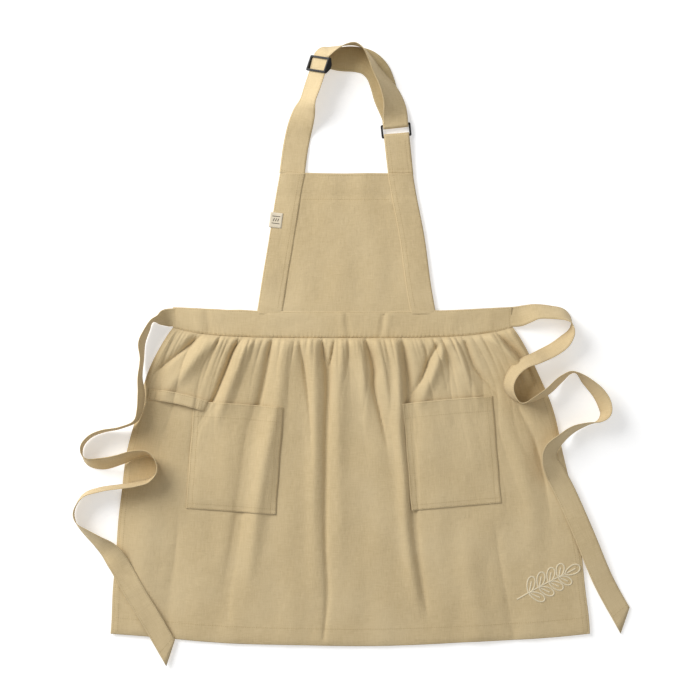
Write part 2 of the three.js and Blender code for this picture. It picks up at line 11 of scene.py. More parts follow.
import bpy
import numpy as np
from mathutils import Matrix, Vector


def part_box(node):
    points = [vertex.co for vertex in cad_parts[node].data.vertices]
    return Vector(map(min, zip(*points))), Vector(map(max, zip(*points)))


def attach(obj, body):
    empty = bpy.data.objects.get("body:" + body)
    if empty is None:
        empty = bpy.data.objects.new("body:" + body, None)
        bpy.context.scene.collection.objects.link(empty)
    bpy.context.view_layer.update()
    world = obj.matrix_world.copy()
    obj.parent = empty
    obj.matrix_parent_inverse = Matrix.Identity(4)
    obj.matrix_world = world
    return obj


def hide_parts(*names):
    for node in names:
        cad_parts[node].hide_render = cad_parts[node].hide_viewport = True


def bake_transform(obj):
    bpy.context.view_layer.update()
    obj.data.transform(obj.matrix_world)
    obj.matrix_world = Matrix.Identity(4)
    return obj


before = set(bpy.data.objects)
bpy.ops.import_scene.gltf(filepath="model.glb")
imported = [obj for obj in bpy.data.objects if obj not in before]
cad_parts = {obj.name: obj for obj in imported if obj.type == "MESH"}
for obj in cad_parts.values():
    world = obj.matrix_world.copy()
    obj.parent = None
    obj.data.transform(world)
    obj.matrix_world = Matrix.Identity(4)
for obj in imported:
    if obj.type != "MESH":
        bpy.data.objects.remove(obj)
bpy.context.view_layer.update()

# %% [markdown]
# ## From pattern sizes to places
# The pattern is drawn in millimetres, as a dressmaker would. The frame is in metres and its origin is
# under the apron's middle, so one small step moves every point from the pattern to the frame. The
# waistband's facing is the piece that both of them share.

# %% Pattern to frame
facing_low, facing_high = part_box("waistband_facing")
SHIFT = np.array([(facing_low.x + facing_high.x) / 2 + 0.016, facing_low.y - 0.0235, 0.0])


def to_frame(points):
    """Pattern millimetres to frame metres."""
    return np.asarray(points, float) * 0.001 + SHIFT


print("shift in millimetres", (SHIFT * 1000).round(2))

# %% [markdown]
# ## Cloth from a grid of points
# Every piece of cloth starts as a grid of threads: rows along it and columns across it. The grid becomes
# a mesh, a UV map keeps the cut's flat size in metres so that the weave can follow the cloth, and a
# Solidify modifier gives it the thickness of real cloth.

# %% Cloth maker
CLOTH = 0.8


def drop_selection():
    bpy.ops.object.select_all(action="DESELECT")


def mesh_piece(name, points, faces, finish, flat=None):
    """A smooth mesh at the origin. flat holds each point's place on the uncut cloth, in metres."""
    mesh = bpy.data.meshes.new(name)
    mesh.from_pydata(to_frame(points).tolist(), [], faces.tolist())
    mesh.validate()
    if flat is not None:
        corner = np.empty(len(mesh.loops), np.int32)
        mesh.loops.foreach_get("vertex_index", corner)
        mesh.uv_layers.new(name="Cut")
        mesh.uv_layers["Cut"].data.foreach_set("uv", flat[corner].astype(np.float32).ravel())
    mesh.shade_smooth()
    mesh.materials.append(finish)
    piece = bpy.data.objects.new(name, mesh)
    bpy.context.scene.collection.objects.link(piece)
    return piece


def cloth(name, grid, finish, thickness=CLOTH, offset=-1.0):
    """Cloth through a grid of points, rows by columns. Offset -1 keeps the grid as its face."""
    rows, columns = grid.shape[:2]
    number = np.arange(rows * columns).reshape(rows, columns)
    faces = np.stack([number[:-1, :-1], number[:-1, 1:], number[1:, 1:], number[1:, :-1]], -1)
    across = np.linalg.norm(np.diff(grid, axis=1), axis=2).cumsum(1)
    along = np.linalg.norm(np.diff(grid, axis=0), axis=2).cumsum(0)
    flat = np.zeros((rows, columns, 2))
    flat[:, 1:, 0] = across.mean(0) * 0.001
    flat[1:, :, 1] = along.mean(1)[:, None] * 0.001
    piece = mesh_piece(name, grid.reshape(-1, 3), faces.reshape(-1, 4), finish, flat.reshape(-1, 2))
    if thickness:
        body = piece.modifiers.new("Thickness", "SOLIDIFY")
        body.thickness = thickness * 0.001
        body.offset = offset
    return piece


def wander(u, v, seed, waves=6):
    """A smooth, irregular wave between about -1 and 1, the same each time."""
    chance = np.random.default_rng(seed)
    total = 0.0
    for _ in range(waves):
        a, b = chance.normal(0, 1, 2)
        total = total + np.sin(a * u + b * v + chance.uniform(0, math.tau))
    return total / math.sqrt(waves)


print("cloth is", CLOTH, "mm thick")

# %% [markdown]
# ## Finishes
# The apron is washed cotton twill: matt, with a slight bloom at grazing angles, a fine diagonal rib and
# threads of uneven thickness. The rib is 0.9 mm apart, which is close to the real one and only shows
# near by. The slider and ring are moulded acetal, the label is woven, and the sprig is satin stitch.

# %% Colours and nodes


def colour(code):
    """An sRGB hex colour as the linear colour that a shader wants."""
    parts = [int(code[i:i + 2], 16) / 255 for i in (1, 3, 5)]
    return [p / 12.92 if p <= 0.04045 else ((p + 0.055) / 1.055) ** 2.4 for p in parts] + [1.0]


def add_node(tree, kind, settings=None, values=None, links=None):
    """Adds a node, sets its properties and its inputs' values, and links outputs to its inputs."""
    node = tree.nodes.new(kind)
    for name, value in (settings or {}).items():
        setattr(node, name, value)
    for name, value in (values or {}).items():
        node.inputs[name].default_value = value
    for name, output in (links or {}).items():
        tree.links.new(output, node.inputs[name])
    return node


def new_finish(name):
    """An empty material with its shader, ready for nodes."""
    finish = bpy.data.materials.new(name)
    finish.use_nodes = True
    return finish, finish.node_tree, finish.node_tree.nodes["Principled BSDF"]


# %% Cotton twill
RIB_SPACING = 0.9e-3


def cotton_twill(name, face, shade, wash_paled_and_ridge_shaded):
    """Washed cotton twill. Three colours: the yarn, where it is thin, and where washing has paled it."""
    finish, tree, shader = new_finish(name)
    place = add_node(tree, "ShaderNodeTexCoord")
    rib = add_node(tree, "ShaderNodeMapping", values={
        "Rotation": (0, 0, math.radians(63))}, links={"Vector": place.outputs["UV"]})
    twill = add_node(tree, "ShaderNodeTexWave", {"wave_type": "BANDS", "bands_direction": "X"}, {
        "Scale": 1 / RIB_SPACING / math.tau * 2, "Distortion": 1.2, "Detail": 2.0,
        "Detail Scale": 1.5}, {"Vector": rib.outputs["Vector"]})
    stretch = add_node(tree, "ShaderNodeMapping", values={"Scale": (900, 60, 1)}, links={
        "Vector": place.outputs["UV"]})
    warp = add_node(tree, "ShaderNodeTexNoise", values={"Scale": 1.0, "Detail": 3.0}, links={
        "Vector": stretch.outputs["Vector"]})
    turned = add_node(tree, "ShaderNodeMapping", values={"Scale": (70, 900, 1)}, links={
        "Vector": place.outputs["UV"]})
    weft = add_node(tree, "ShaderNodeTexNoise", values={"Scale": 1.0, "Detail": 3.0}, links={
        "Vector": turned.outputs["Vector"]})
    threads = add_node(tree, "ShaderNodeMath", {"operation": "ADD"}, links={
        0: warp.outputs["Fac"], 1: weft.outputs["Fac"]})
    slub = add_node(tree, "ShaderNodeMapRange", values={
        "From Min": 0.7, "From Max": 1.3}, links={"Value": threads.outputs["Value"]})
    yarn = add_node(tree, "ShaderNodeMix", {"data_type": "RGBA"}, {
        "A": colour(shade), "B": colour(face)}, {"Factor": slub.outputs["Result"]})
    wash = add_node(tree, "ShaderNodeTexNoise", values={"Scale": 9.0, "Detail": 4.0}, links={
        "Vector": place.outputs["Object"]})
    paled = add_node(tree, "ShaderNodeMapRange", values={
        "From Min": 0.42, "From Max": 0.75, "To Max": 0.5}, links={"Value": wash.outputs["Fac"]})
    dyed = add_node(tree, "ShaderNodeMix", {"data_type": "RGBA"}, {"B": colour(wash_paled_and_ridge_shaded)}, {
        "Factor": paled.outputs["Result"], "A": yarn.outputs["Result"]})
    tree.links.new(dyed.outputs["Result"], shader.inputs["Base Color"])
    shader.inputs["Roughness"].default_value = 0.92
    shader.inputs["Sheen Weight"].default_value = 0.12
    shader.inputs["Sheen Roughness"].default_value = 0.55
    shader.inputs["Specular IOR Level"].default_value = 0.25
    rumple = add_node(tree, "ShaderNodeTexNoise", values={
        "Scale": 55.0, "Detail": 3.0, "Roughness": 0.55}, links={"Vector": place.outputs["Object"]})
    creased = add_node(tree, "ShaderNodeBump", values={
        "Strength": 0.5, "Distance": 0.0020}, links={"Height": rumple.outputs["Fac"]})
    drawn = add_node(tree, "ShaderNodeMapping", values={"Scale": (120, 26, 1)}, links={
        "Vector": place.outputs["UV"]})
    pulled = add_node(tree, "ShaderNodeTexNoise", values={
        "Scale": 1.0, "Detail": 4.0, "Roughness": 0.6}, links={
        "Vector": drawn.outputs["Vector"]})
    wrinkled = add_node(tree, "ShaderNodeBump", values={"Strength": 0.4, "Distance": 0.0009}, links={
        "Height": pulled.outputs["Fac"], "Normal": creased.outputs["Normal"]})
    ribbed = add_node(tree, "ShaderNodeBump", values={"Strength": 0.5, "Distance": 0.00025}, links={
        "Height": twill.outputs["Fac"], "Normal": wrinkled.outputs["Normal"]})
    woven = add_node(tree, "ShaderNodeBump", values={"Strength": 0.5, "Distance": 0.00045}, links={
        "Height": threads.outputs["Value"], "Normal": ribbed.outputs["Normal"]})
    tree.links.new(woven.outputs["Normal"], shader.inputs["Normal"])
    return finish


COTTON = cotton_twill("washed_cotton_twill", "#D6C096", "#C8B287", "#DECAA2")
COTTON_BACK = cotton_twill("cotton_twill_wrong_side", "#CFBB8F", "#C0AA7E", "#D6C49A")
print("twill rib", RIB_SPACING * 1000, "mm apart")

# %% Thread, label and acetal


def plain_thread(name, code, roughness):
    """Spun thread: a slight gloss along it and fibres too fine to show."""
    finish, tree, shader = new_finish(name)
    place = add_node(tree, "ShaderNodeTexCoord")
    fibre = add_node(tree, "ShaderNodeTexNoise", values={"Scale": 1800.0, "Detail": 2.0}, links={
        "Vector": place.outputs["Object"]})
    shaded = add_node(tree, "ShaderNodeMix", {"data_type": "RGBA"}, {
        "A": [c * 0.82 for c in colour(code)[:3]] + [1.0], "B": colour(code)}, {
        "Factor": fibre.outputs["Fac"]})
    tree.links.new(shaded.outputs["Result"], shader.inputs["Base Color"])
    shader.inputs["Roughness"].default_value = roughness
    shader.inputs["Sheen Weight"].default_value = 0.2
    return finish


SEWING_THREAD = plain_thread("polyester_sewing_thread", "#BFA777", 0.55)
SATIN_THREAD = plain_thread("rayon_embroidery_thread", "#F4E6C6", 0.38)
LABEL_THREAD = plain_thread("dark_label_thread", "#4A3F33", 0.6)


def woven_label_finish():
    """Damask label tape: close, flat threads with a faint sheen."""
    finish, tree, shader = new_finish("damask_label_tape")
    place = add_node(tree, "ShaderNodeTexCoord")
    picks = add_node(tree, "ShaderNodeTexWave", {"wave_type": "BANDS", "bands_direction": "Y"}, {
        "Scale": 700.0, "Distortion": 0.6}, {"Vector": place.outputs["UV"]})
    tape = add_node(tree, "ShaderNodeMix", {"data_type": "RGBA"}, {
        "A": colour("#DCCDB2"), "B": colour("#EADFC8")}, {"Factor": picks.outputs["Fac"]})
    raised = add_node(tree, "ShaderNodeBump", values={"Strength": 0.4, "Distance": 0.0002}, links={
        "Height": picks.outputs["Fac"]})
    tree.links.new(tape.outputs["Result"], shader.inputs["Base Color"])
    tree.links.new(raised.outputs["Normal"], shader.inputs["Normal"])
    shader.inputs["Roughness"].default_value = 0.7
    return finish


LABEL_TAPE = woven_label_finish()
RIDGE_SPACING = 1.1e-3


def moulded_acetal(name, along):
    """Black acetal, moulded with fine ridges across its bars so that webbing grips it, with painted shade in
    the grooves and a painted highlight on the crests.
    """
    finish, tree, shader = new_finish(name)
    place = add_node(tree, "ShaderNodeTexCoord")
    reach = add_node(tree, "ShaderNodeVectorMath", {"operation": "DOT_PRODUCT"}, {1: tuple(along)}, {
        0: place.outputs["Object"]})
    turns = add_node(tree, "ShaderNodeMath", {"operation": "MULTIPLY"}, {1: math.tau / RIDGE_SPACING}, {
        0: reach.outputs["Value"]})
    ridges = add_node(tree, "ShaderNodeMath", {"operation": "SINE"}, links={0: turns.outputs["Value"]})
    grain = add_node(tree, "ShaderNodeTexNoise", values={"Scale": 2500.0}, links={
        "Vector": place.outputs["Object"]})
    ridged = add_node(tree, "ShaderNodeBump", values={"Strength": 0.9, "Distance": 0.0003}, links={
        "Height": ridges.outputs["Value"]})
    grained = add_node(tree, "ShaderNodeBump", values={"Strength": 0.15, "Distance": 0.0001}, links={
        "Height": grain.outputs["Fac"], "Normal": ridged.outputs["Normal"]})
    # Painted shade and highlight: the grooves between the ridges are coloured near black and the crests grey.
    ridge_shade_mask = add_node(tree, "ShaderNodeMapRange", values={"From Min": -1.0}, links={
        "Value": ridges.outputs["Value"]})
    wash_paled_and_ridge_shaded = add_node(tree, "ShaderNodeMix", {"data_type": "RGBA"}, {
        "A": colour("#101010"), "B": colour("#2E2E2F")}, {"Factor": ridge_shade_mask.outputs["Result"]})
    tree.links.new(wash_paled_and_ridge_shaded.outputs["Result"], shader.inputs["Base Color"])
    tree.links.new(grained.outputs["Normal"], shader.inputs["Normal"])
    shader.inputs["Roughness"].default_value = 0.42
    shader.inputs["IOR"].default_value = 1.48
    return finish


print("materials", len(bpy.data.materials))

# %% [markdown]
# ## The skirt's cut
# The skirt is a wide panel gathered into the waistband, so below the band it flares quickly and then
# hangs nearly straight. `side` runs from -1 at the left edge to 1 at the right, and `drop` from 0 at the
# band to 1 at the hem. Lines of equal `side` are the lines along which the gathers run.

# %% Skirt and waistband lines


def band_point(side, share):
    """A place on the waistband: share is 0 at its lower edge and 1 at its upper edge."""
    height = 40 - 10 * side ** 8
    return -16 + side * 254, 43.5 + 11 * side ** 4 + (share - 0.5) * height


def skirt_line(drop):
    """The skirt's middle and half width at that drop."""
    flare = 1.45 * drop / (drop + 0.45)
    return -16 + 11.5 * drop, 254 + 105 * flare


def skirt_point(side, drop):
    """A place on the skirt as it lies."""
    middle, half = skirt_line(drop)
    top = band_point(side, 0)[1]
    bottom = -438.5 + 18 * side ** 2
    return middle + side * half, top + (bottom - top) * drop


def skirt_place(x, y):
    """The side and drop of a point, found by going back and forth between the two."""
    side, drop = 0 * x, (24 - y) / 462
    for _ in range(8):
        middle, half = skirt_line(drop)
        side = np.clip((x - middle) / half, -1.05, 1.05)
        top = band_point(side, 0)[1]
        drop = np.clip((top - y) / (top + 438.5 - 18 * side ** 2), 0, 1.05)
    return side, drop


print("skirt corner", [round(float(v), 1) for v in skirt_point(-1.0, 1.0)])

# %% [markdown]
# ## The skirt's folds
# Gathering pushes cloth into puckers. They are fine at the seam, join into fewer and wider folds on the
# way down, and fade before the hem. Puckers of five widths, each fading at its own distance, give that.
# The few deep folds that give this apron its look are listed one by one, each as a line with a height.

# %% Deep folds, listed one by one
# Each fold: ridge height in mm (negative for a valley), half width in mm, then the points it runs
# through, each with its share of the height.
FOLDS = [
    (-7.0, 5.0, [(-159, 27, .5), (-177, 9, .9), (-191, -25, 1), (-210, -71, .8), (-225, -95, .6),
                 (-238, -125, .3),
                 (-242, -190, 0)]),
    (5.0, 9.0, [(-148, 26, .3), (-163, 4, .9), (-176, -30, 1), (-192, -72, .6), (-212, -120, 0)]),
    (-6.0, 5.5, [(-221, 31, .5), (-240, 17, 1), (-266, -4, .9), (-290, -23, .6), (-304, -40, 0)]),
    (4.5, 10.0, [(-204, 28, .3), (-226, 2, 1), (-252, -28, .9), (-282, -62, .3), (-296, -90, 0)]),
    (-8.0, 4.5, [(-46, 20, .8), (-43, -6, 1), (-38, -31, 1), (-40, -110, .85), (-41, -188, .7),
                 (-41, -289, .6),
                 (-38, -361, .5), (-44, -427, .2)]),
    (-5.0, 4.0, [(-28, 18, .9), (-33, -8, 1), (-38, -31, .8), (-39, -60, 0)]),
    (4.5, 10.0, [(-61, 16, .6), (-57, -30, 1), (-57, -120, .8), (-58, -250, .45), (-56, -380, 0)]),
    (4.0, 11.0, [(-15, 14, .5), (-20, -35, 1), (-22, -120, .8), (-20, -250, .4), (-22, -380, 0)]),
    (-4.0, 5.0, [(-81, 20, .8), (-71, -34, 1), (-65, -92, .6), (-62, -188, 0)]),
    (-9.0, 4.5, [(19, 20, .7), (27, -4, 1), (31, -24, 1), (31, -49, .8), (42, -98, .45), (53, -146, 0)]),
    (4.5, 8.0, [(8, 16, .5), (14, -20, 1), (18, -60, .8), (20, -130, 0)]),
    (5.0, 8.0, [(38, 18, .5), (46, -12, 1), (52, -60, .8), (66, -130, .3), (70, -180, 0)]),
    (6.5, 9.0, [(64, 20, .5), (68, -38, 1), (71, -119, .85), (76, -188, .7), (80, -269, .55), (92, -349, .4),
                (104, -398, 0)]),
    (-7.5, 6.0, [(75, 20, .5), (81, -38, 1), (84, -119, 1), (89, -188, .9), (93, -269, .8), (104, -349, .5),
                 (113, -398, 0)]),
    (-5.0, 5.0, [(126, 12, .8), (113, -12, 1), (103, -38, .8), (86, -62, .3), (76, -74, 0)]),
    (4.5, 8.0, [(139, 14, .5), (125, -18, 1), (112, -50, .8), (96, -84, 0)]),
    (-5.0, 5.0, [(168, 17, .8), (182, -20, 1), (204, -47, .5), (220, -66, 0)]),
    (4.5, 8.0, [(154, 14, .6), (166, -22, 1), (182, -58, .5), (190, -90, 0)]),
    (7.0, 8.0, [(205, 26, .5), (220, 12, 1), (236, -4, 1), (252, -22, .6), (262, -50, 0)]),
    (-8.0, 5.0, [(216, 30, .7), (232, 14, 1), (250, -4, 1), (264, -26, .5), (272, -52, 0)]),
    (-5.5, 10.0, [(-122, 16, .8), (-138, -65, .9), (-153, -119, 1), (-162, -188, 1), (-178, -289, 1),
                  (-190, -376, .5), (-182, -405, 0)]),
    (4.5, 12.0, [(-100, 10, .6), (-112, -65, .8), (-126, -130, 1), (-136, -188, 1), (-150, -289, .8),
                 (-160, -376, 0)]),
    (-3.0, 11.0, [(240, -60, 0), (252, -90, .8), (272, -130, 1), (290, -205, .6), (298, -260, 0)]),
    (2.5, 13.0, [(226, -70, 0), (232, -110, .8), (250, -160, 1), (266, -230, .6), (276, -300, 0)]),
    (2.2, 20.0, [(-300, -180, 0), (-304, -260, 1), (-312, -340, .8), (-318, -400, 0)]),
    (-2.2, 16.0, [(-262, -240, 0), (-266, -300, .9), (-276, -370, 1), (-284, -438, .7)]),
    (2.4, 18.0, [(164, -250, 0), (172, -320, .9), (186, -390, 1), (196, -436, .6)]),
    (-2.2, 14.0, [(212, -240, 0), (220, -310, .8), (236, -390, 1), (242, -434, .5)]),
]


def smooth_line(points, steps=12):
    """A round line through points: a centripetal Catmull-Rom curve, which doesn't overshoot."""
    points = np.asarray(points, float)
    ends = np.vstack([2 * points[0] - points[1], points, 2 * points[-1] - points[-2]])
    out = []
    for i in range(1, len(ends) - 2):
        four = ends[i - 1:i + 3]
        gaps = np.maximum(np.linalg.norm(np.diff(four[:, :2], axis=0), axis=1), 1e-6) ** 0.5
        t = np.concatenate([[0], gaps.cumsum()])
        s = np.linspace(t[1], t[2], steps, endpoint=False)[:, None]
        a = [(t[k + 1] - s) / (t[k + 1] - t[k]) * four[k] + (s - t[k]) / (t[k + 1] - t[k]) * four[k + 1]
             for k in range(3)]
        b = [(t[k + 2] - s) / (t[k + 2] - t[k]) * a[k] + (s - t[k]) / (t[k + 2] - t[k]) * a[k + 1]
             for k in range(2)]
        out.append((t[2] - s) / (t[2] - t[1]) * b[0] + (s - t[1]) / (t[2] - t[1]) * b[1])
    return np.vstack([*out, points[-1:]])


def fold_height(x, y):
    """What the listed folds add to the cloth's height."""
    total = np.zeros_like(x)
    for height, width, points in FOLDS:
        line = smooth_line(points, 5)
        near = np.full(x.shape, 1e9)
        share = np.zeros_like(x)
        for a, b in zip(line[:-1], line[1:]):
            run = b[:2] - a[:2]
            t = np.clip(((x - a[0]) * run[0] + (y - a[1]) * run[1]) / (run @ run), 0, 1)
            away = np.hypot(x - a[0] - t * run[0], y - a[1] - t * run[1])
            closer = away < near
            near = np.where(closer, away, near)
            share = np.where(closer, a[2] + t * (b[2] - a[2]), share)
        if height > 0:
            total += height * share * np.exp(-(near / width) ** 2)
        else:
            total += 1.25 * height * share * np.exp(-(near / (0.7 * width)) ** 0.95)
    return total


print("hand-laid folds", len(FOLDS))

# %% Puckers and the skirt's height
# Folds across the width, height in mm, and how far down each kind reaches, in mm.
PUCKERS = [(97, 1.6, 13), (57, 3.8, 25), (33, 4.8, 46), (17, 3.8, 110), (9, 2.0, 340)]
FLOOR = 2.2


def skirt_height(x, y):
    """Height of the skirt's face, in mm."""
    side, drop = skirt_place(x, y)
    below = drop * 462
    height = 4.2 + 6.0 * np.exp(-below / 75) + 3.4 * np.exp(-((below / 400) ** 2))
    for seed, (count, tall, reach) in enumerate(PUCKERS):
        drift = (0.35 * wander(side * 6, below / 90, 10 + seed)
                 + 0.5 * wander(side * 2.5, below / 260, 20 + seed))
        lively = np.clip(0.55 + 0.5 * wander(side * count * 0.7, below / 200, 30 + seed), 0, 1.6)
        ridge = np.abs(np.sin(math.pi * (side * count / 2 + drift + 0.37 * seed))) ** 0.5
        height = height + tall * lively * np.exp(-((below / reach) ** 1.1)) * (ridge - 0.68)
    height = height + 1.3 * fold_height(x, y)
    height = height + 0.7 * wander(x / 24, y / 60, 3) * np.clip(below / 60, 0.2, 1)
    seam = np.exp(-below / 5)
    height = height * (1 - seam) + 3.9 * seam
    over = height - FLOOR
    return FLOOR + np.where(over > 0.8, over, 0.8 * np.exp(np.minimum(over, 0.8) - 0.8))


# %% Skirt panel
drops = np.concatenate([
    np.linspace(1.0, 0.99, 3, endpoint=False), np.linspace(0.99, 0.925, 7, endpoint=False),
    np.linspace(0.925, 0.3, 46, endpoint=False), np.linspace(0.3, 0.0, 56),
])
sides = np.sin(np.linspace(-1, 1, 411) * math.pi / 2 * 0.5) / math.sin(math.pi / 4)
side_grid, drop_grid = np.meshgrid(sides, drops)
skirt_x, skirt_y = skirt_point(side_grid, drop_grid)
skirt_x = skirt_x + 1.6 * wander(drop_grid * 14, side_grid * 0.2, 41) * np.abs(side_grid) ** 8
skirt_y = skirt_y + 1.4 * wander(side_grid * 12, 0 * drop_grid, 42) * drop_grid ** 12
skirt_z = skirt_height(skirt_x, skirt_y)
edge_curl = np.exp(-((1 - np.abs(side_grid)) * 340 / 5) ** 2) + np.exp(-((1 - drop_grid) * 462 / 4) ** 2)
skirt_z = skirt_z - np.minimum(edge_curl, 1) * (skirt_z - 2.0) * 0.45
skirt_grid = np.stack([skirt_x, skirt_y, skirt_z], -1)
tuck = skirt_grid[-1:].copy() + [0, 11, -1.6]
skirt_grid = np.concatenate([skirt_grid, tuck])
skirt = cloth("gathered_skirt", skirt_grid, COTTON)
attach(skirt, "skirt")
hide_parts("skirt_panel")
print("skirt points", skirt_grid.shape, "highest", round(float(skirt_z.max()), 1))

# %% [markdown]
# ## Sewing thread
# A line of stitching is many short bars of thread that dip into the cloth at both ends. One bar is
# shaped once, and every stitch is a copy of it, turned along the seam and laid on the cloth. The line is
# given on the cloth's own grid, so it follows each fold.

# %% Stitch maker


def on_grid(grid, row, column):
    """Places and outward normals on a cloth grid at fractional rows and columns."""
    rows, columns = grid.shape[:2]
    row, column = np.clip(row, 0, rows - 1.001), np.clip(column, 0, columns - 1.001)
    r, c = row.astype(int), column.astype(int)
    s, t = (row - r)[:, None], (column - c)[:, None]
    a, b, d, e = grid[r, c], grid[r, c + 1], grid[r + 1, c], grid[r + 1, c + 1]
    place = (a * (1 - t) + b * t) * (1 - s) + (d * (1 - t) + e * t) * s
    normal = np.cross((b - a) * (1 - s) + (e - d) * s, (d - a) * (1 - t) + (e - b) * t)
    return place, normal / np.maximum(np.linalg.norm(normal, axis=1, keepdims=True), 1e-9)


def evenly(line, normals, pitch):
    """Resamples a line to one point per stitch."""
    length = np.concatenate([[0], np.linalg.norm(np.diff(line, axis=0), axis=1).cumsum()])
    at = np.arange(pitch / 2, length[-1], pitch)
    place = np.stack([np.interp(at, length, line[:, k]) for k in range(3)], -1)
    normal = np.stack([np.interp(at, length, normals[:, k]) for k in range(3)], -1)
    ahead = np.stack([np.interp(at + 0.3, length, line[:, k]) for k in range(3)], -1)
    behind = np.stack([np.interp(at - 0.3, length, line[:, k]) for k in range(3)], -1)
    run = ahead - behind
    run /= np.maximum(np.linalg.norm(run, axis=1, keepdims=True), 1e-9)
    return place, normal / np.linalg.norm(normal, axis=1, keepdims=True), run


def thread_bars(place, normal, run, length, width, sink=0.1):
    """Bars of thread at those places: a rounded bar with its ends in the cloth."""
    turn = np.arange(6) * math.tau / 6
    rings = [(-0.5, 0.35, -0.5), (-0.32, 1, 0.05), (0.32, 1, 0.05), (0.5, 0.35, -0.5)]
    side = np.cross(normal, run)
    points = []
    for along, thick, lift in rings:
        for angle in turn:
            points.append(place + run * (along * length) + side * (math.cos(angle) * width / 2 * thick)
                          + normal * (math.sin(angle) * width / 2 * thick + (lift - sink) * width))
    points = np.stack(points, 1)
    faces = [(r * 6 + i, r * 6 + (i + 1) % 6, r * 6 + 6 + (i + 1) % 6, r * 6 + 6 + i)
             for r in range(3) for i in range(6)]
    count = len(place)
    quads = np.array(faces)[None] + (np.arange(count) * 24)[:, None, None]
    return points.reshape(-1, 3), quads.reshape(-1, 4)


def stitching(name, lines, finish=None, pitch=3.3, length=2.7, width=0.6):
    """One mesh of stitches along lines, each a pair of places and normals."""
    all_points, all_faces, first = [], [], 0
    for line, normals in lines:
        place, normal, run = evenly(line, normals, pitch)
        points, faces = thread_bars(place, normal, run, length, width)
        points[:, 2] = np.maximum(points[:, 2], 0.1)
        all_points.append(points)
        all_faces.append(faces + first)
        first += len(points)
    return mesh_piece(name, np.vstack(all_points), np.vstack(all_faces), finish or SEWING_THREAD)


def seam_on(grid, rows, columns, lift=0.0):
    """A line on a cloth grid, from fractional rows and columns."""
    rows, columns = np.broadcast_arrays(np.asarray(rows, float), np.asarray(columns, float))
    place, normal = on_grid(grid, rows, columns)
    return place + normal * lift, normal


print("stitches are 2.7 mm long, 3.3 mm apart")

# %% [markdown]
# ## Hems and seams of the skirt
# The bottom hem is turned up 30 mm and the side hems 12 mm. Their turnings lie under the panel, where
# they show from behind, and their stitching shows on the face, so each is a strip below the panel and
# a line of thread above it.

# %% Skirt hems and stitching


def drop_row(drop):
    """The fractional row of the skirt's grid at that drop."""
    return np.interp(-np.asarray(drop, float), -drops, np.arange(len(drops)))


def side_column(side):
    """The fractional column of the skirt's grid at that side."""
    return np.interp(side, sides, np.arange(len(sides)))


def turning(name, row_from, row_to, column_from, column_to, count):
    """A turned hem: a strip of cloth that follows the underside of the skirt."""
    rows, columns = np.meshgrid(np.linspace(row_from, row_to, count[0]),
                                np.linspace(column_from, column_to, count[1]), indexing="ij")
    place, normal = on_grid(skirt_grid, rows.ravel(), columns.ravel())
    place = place - normal * 0.95
    place[:, 2] = np.maximum(place[:, 2], 0.85)
    return cloth(name, place.reshape(*rows.shape, 3), COTTON_BACK, 0.75)


full = len(sides) - 1
hem_row, hem_end = float(drop_row(0.935)), float(drop_row(0.995))
hem_strips = [turning("bottom_hem", hem_end, hem_row, 0.6, full - 0.6, (8, 240))]
inner_left, inner_right = float(side_column(-0.962)), float(side_column(0.962))
top_row = float(drop_row(0.015))
hem_strips.append(turning("left_side_hem", hem_row + 1, top_row, 0.6, inner_left, (110, 4)))
hem_strips.append(turning("right_side_hem", hem_row + 1, top_row, inner_right, full - 0.6, (110, 4)))
for strip, node in zip(hem_strips, ("skirt_bottom_hem", "skirt_left_hem", "skirt_right_hem")):
    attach(strip, "skirt")
    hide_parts(node)

fine = np.linspace(0, 1, 400)
HEM_SEAM = 0.945       # share of the drop at which the bottom hem is sewn
edges = [seam_on(skirt_grid, drop_row(HEM_SEAM), side_column(np.linspace(-0.985, 0.985, 400)))]
for side in (-1, 1):
    for inset in (0.972, 0.990):
        edges.append(seam_on(skirt_grid, drop_row(0.012 + 0.98 * fine), side_column(side * inset)))
hem_stitches = stitching("skirt_hem_stitches", edges)
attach(hem_stitches, "skirt")
print("hems", len(hem_strips), "stitch faces", len(hem_stitches.data.polygons))

# %% [markdown]
# ## Waistband
# The band is two layers that take the gathers between them. Its lower edge is drawn into small ripples
# by the gathers, its upper edge is nearly straight, and it has soft cross creases from being folded.
# The face is a grid with those ripples, and the facing is a plainer one below.

# %% Waistband pieces
CREASES = [(-232, 0.9, 9), (-217, -0.9, 5), (-16, 0.7, 6), (-8, -0.9, 4), (44, -1.3, 4), (52, 0.8, 7),
           (148, 0.6, 9), (205, 0.8, 10), (-120, 0.5, 12)]


def band_grid(rows, columns, height, ripple):
    side, share = np.meshgrid(np.linspace(-1, 1, columns), np.linspace(0, 1, rows))
    x, y = band_point(side, share)
    puff = (1 - np.abs(2 * share - 1) ** 6) * (1 - side ** 60)
    gathers = np.abs(np.sin(math.pi * (side * 44 + 1.6 * wander(side * 9, share, 51)))) ** 0.8
    fade = np.exp(-share * 40 / 5)
    z = height + puff * 0.9 + ripple * (0.9 * (gathers - 0.5) * fade)
    z = z + ripple * 0.3 * wander(side * 14, share * 3, 52) * puff
    for place, tall, wide in CREASES:
        lean = place + (share - 0.5) * 6 * math.copysign(1, place)
        z = z + ripple * tall * np.exp(-((x - lean) / wide) ** 2) * puff
    y = y + ripple * 0.5 * wander(side * 30, 0 * side, 53) * (np.abs(2 * share - 1) ** 4)
    return np.stack([x, y, z], -1)


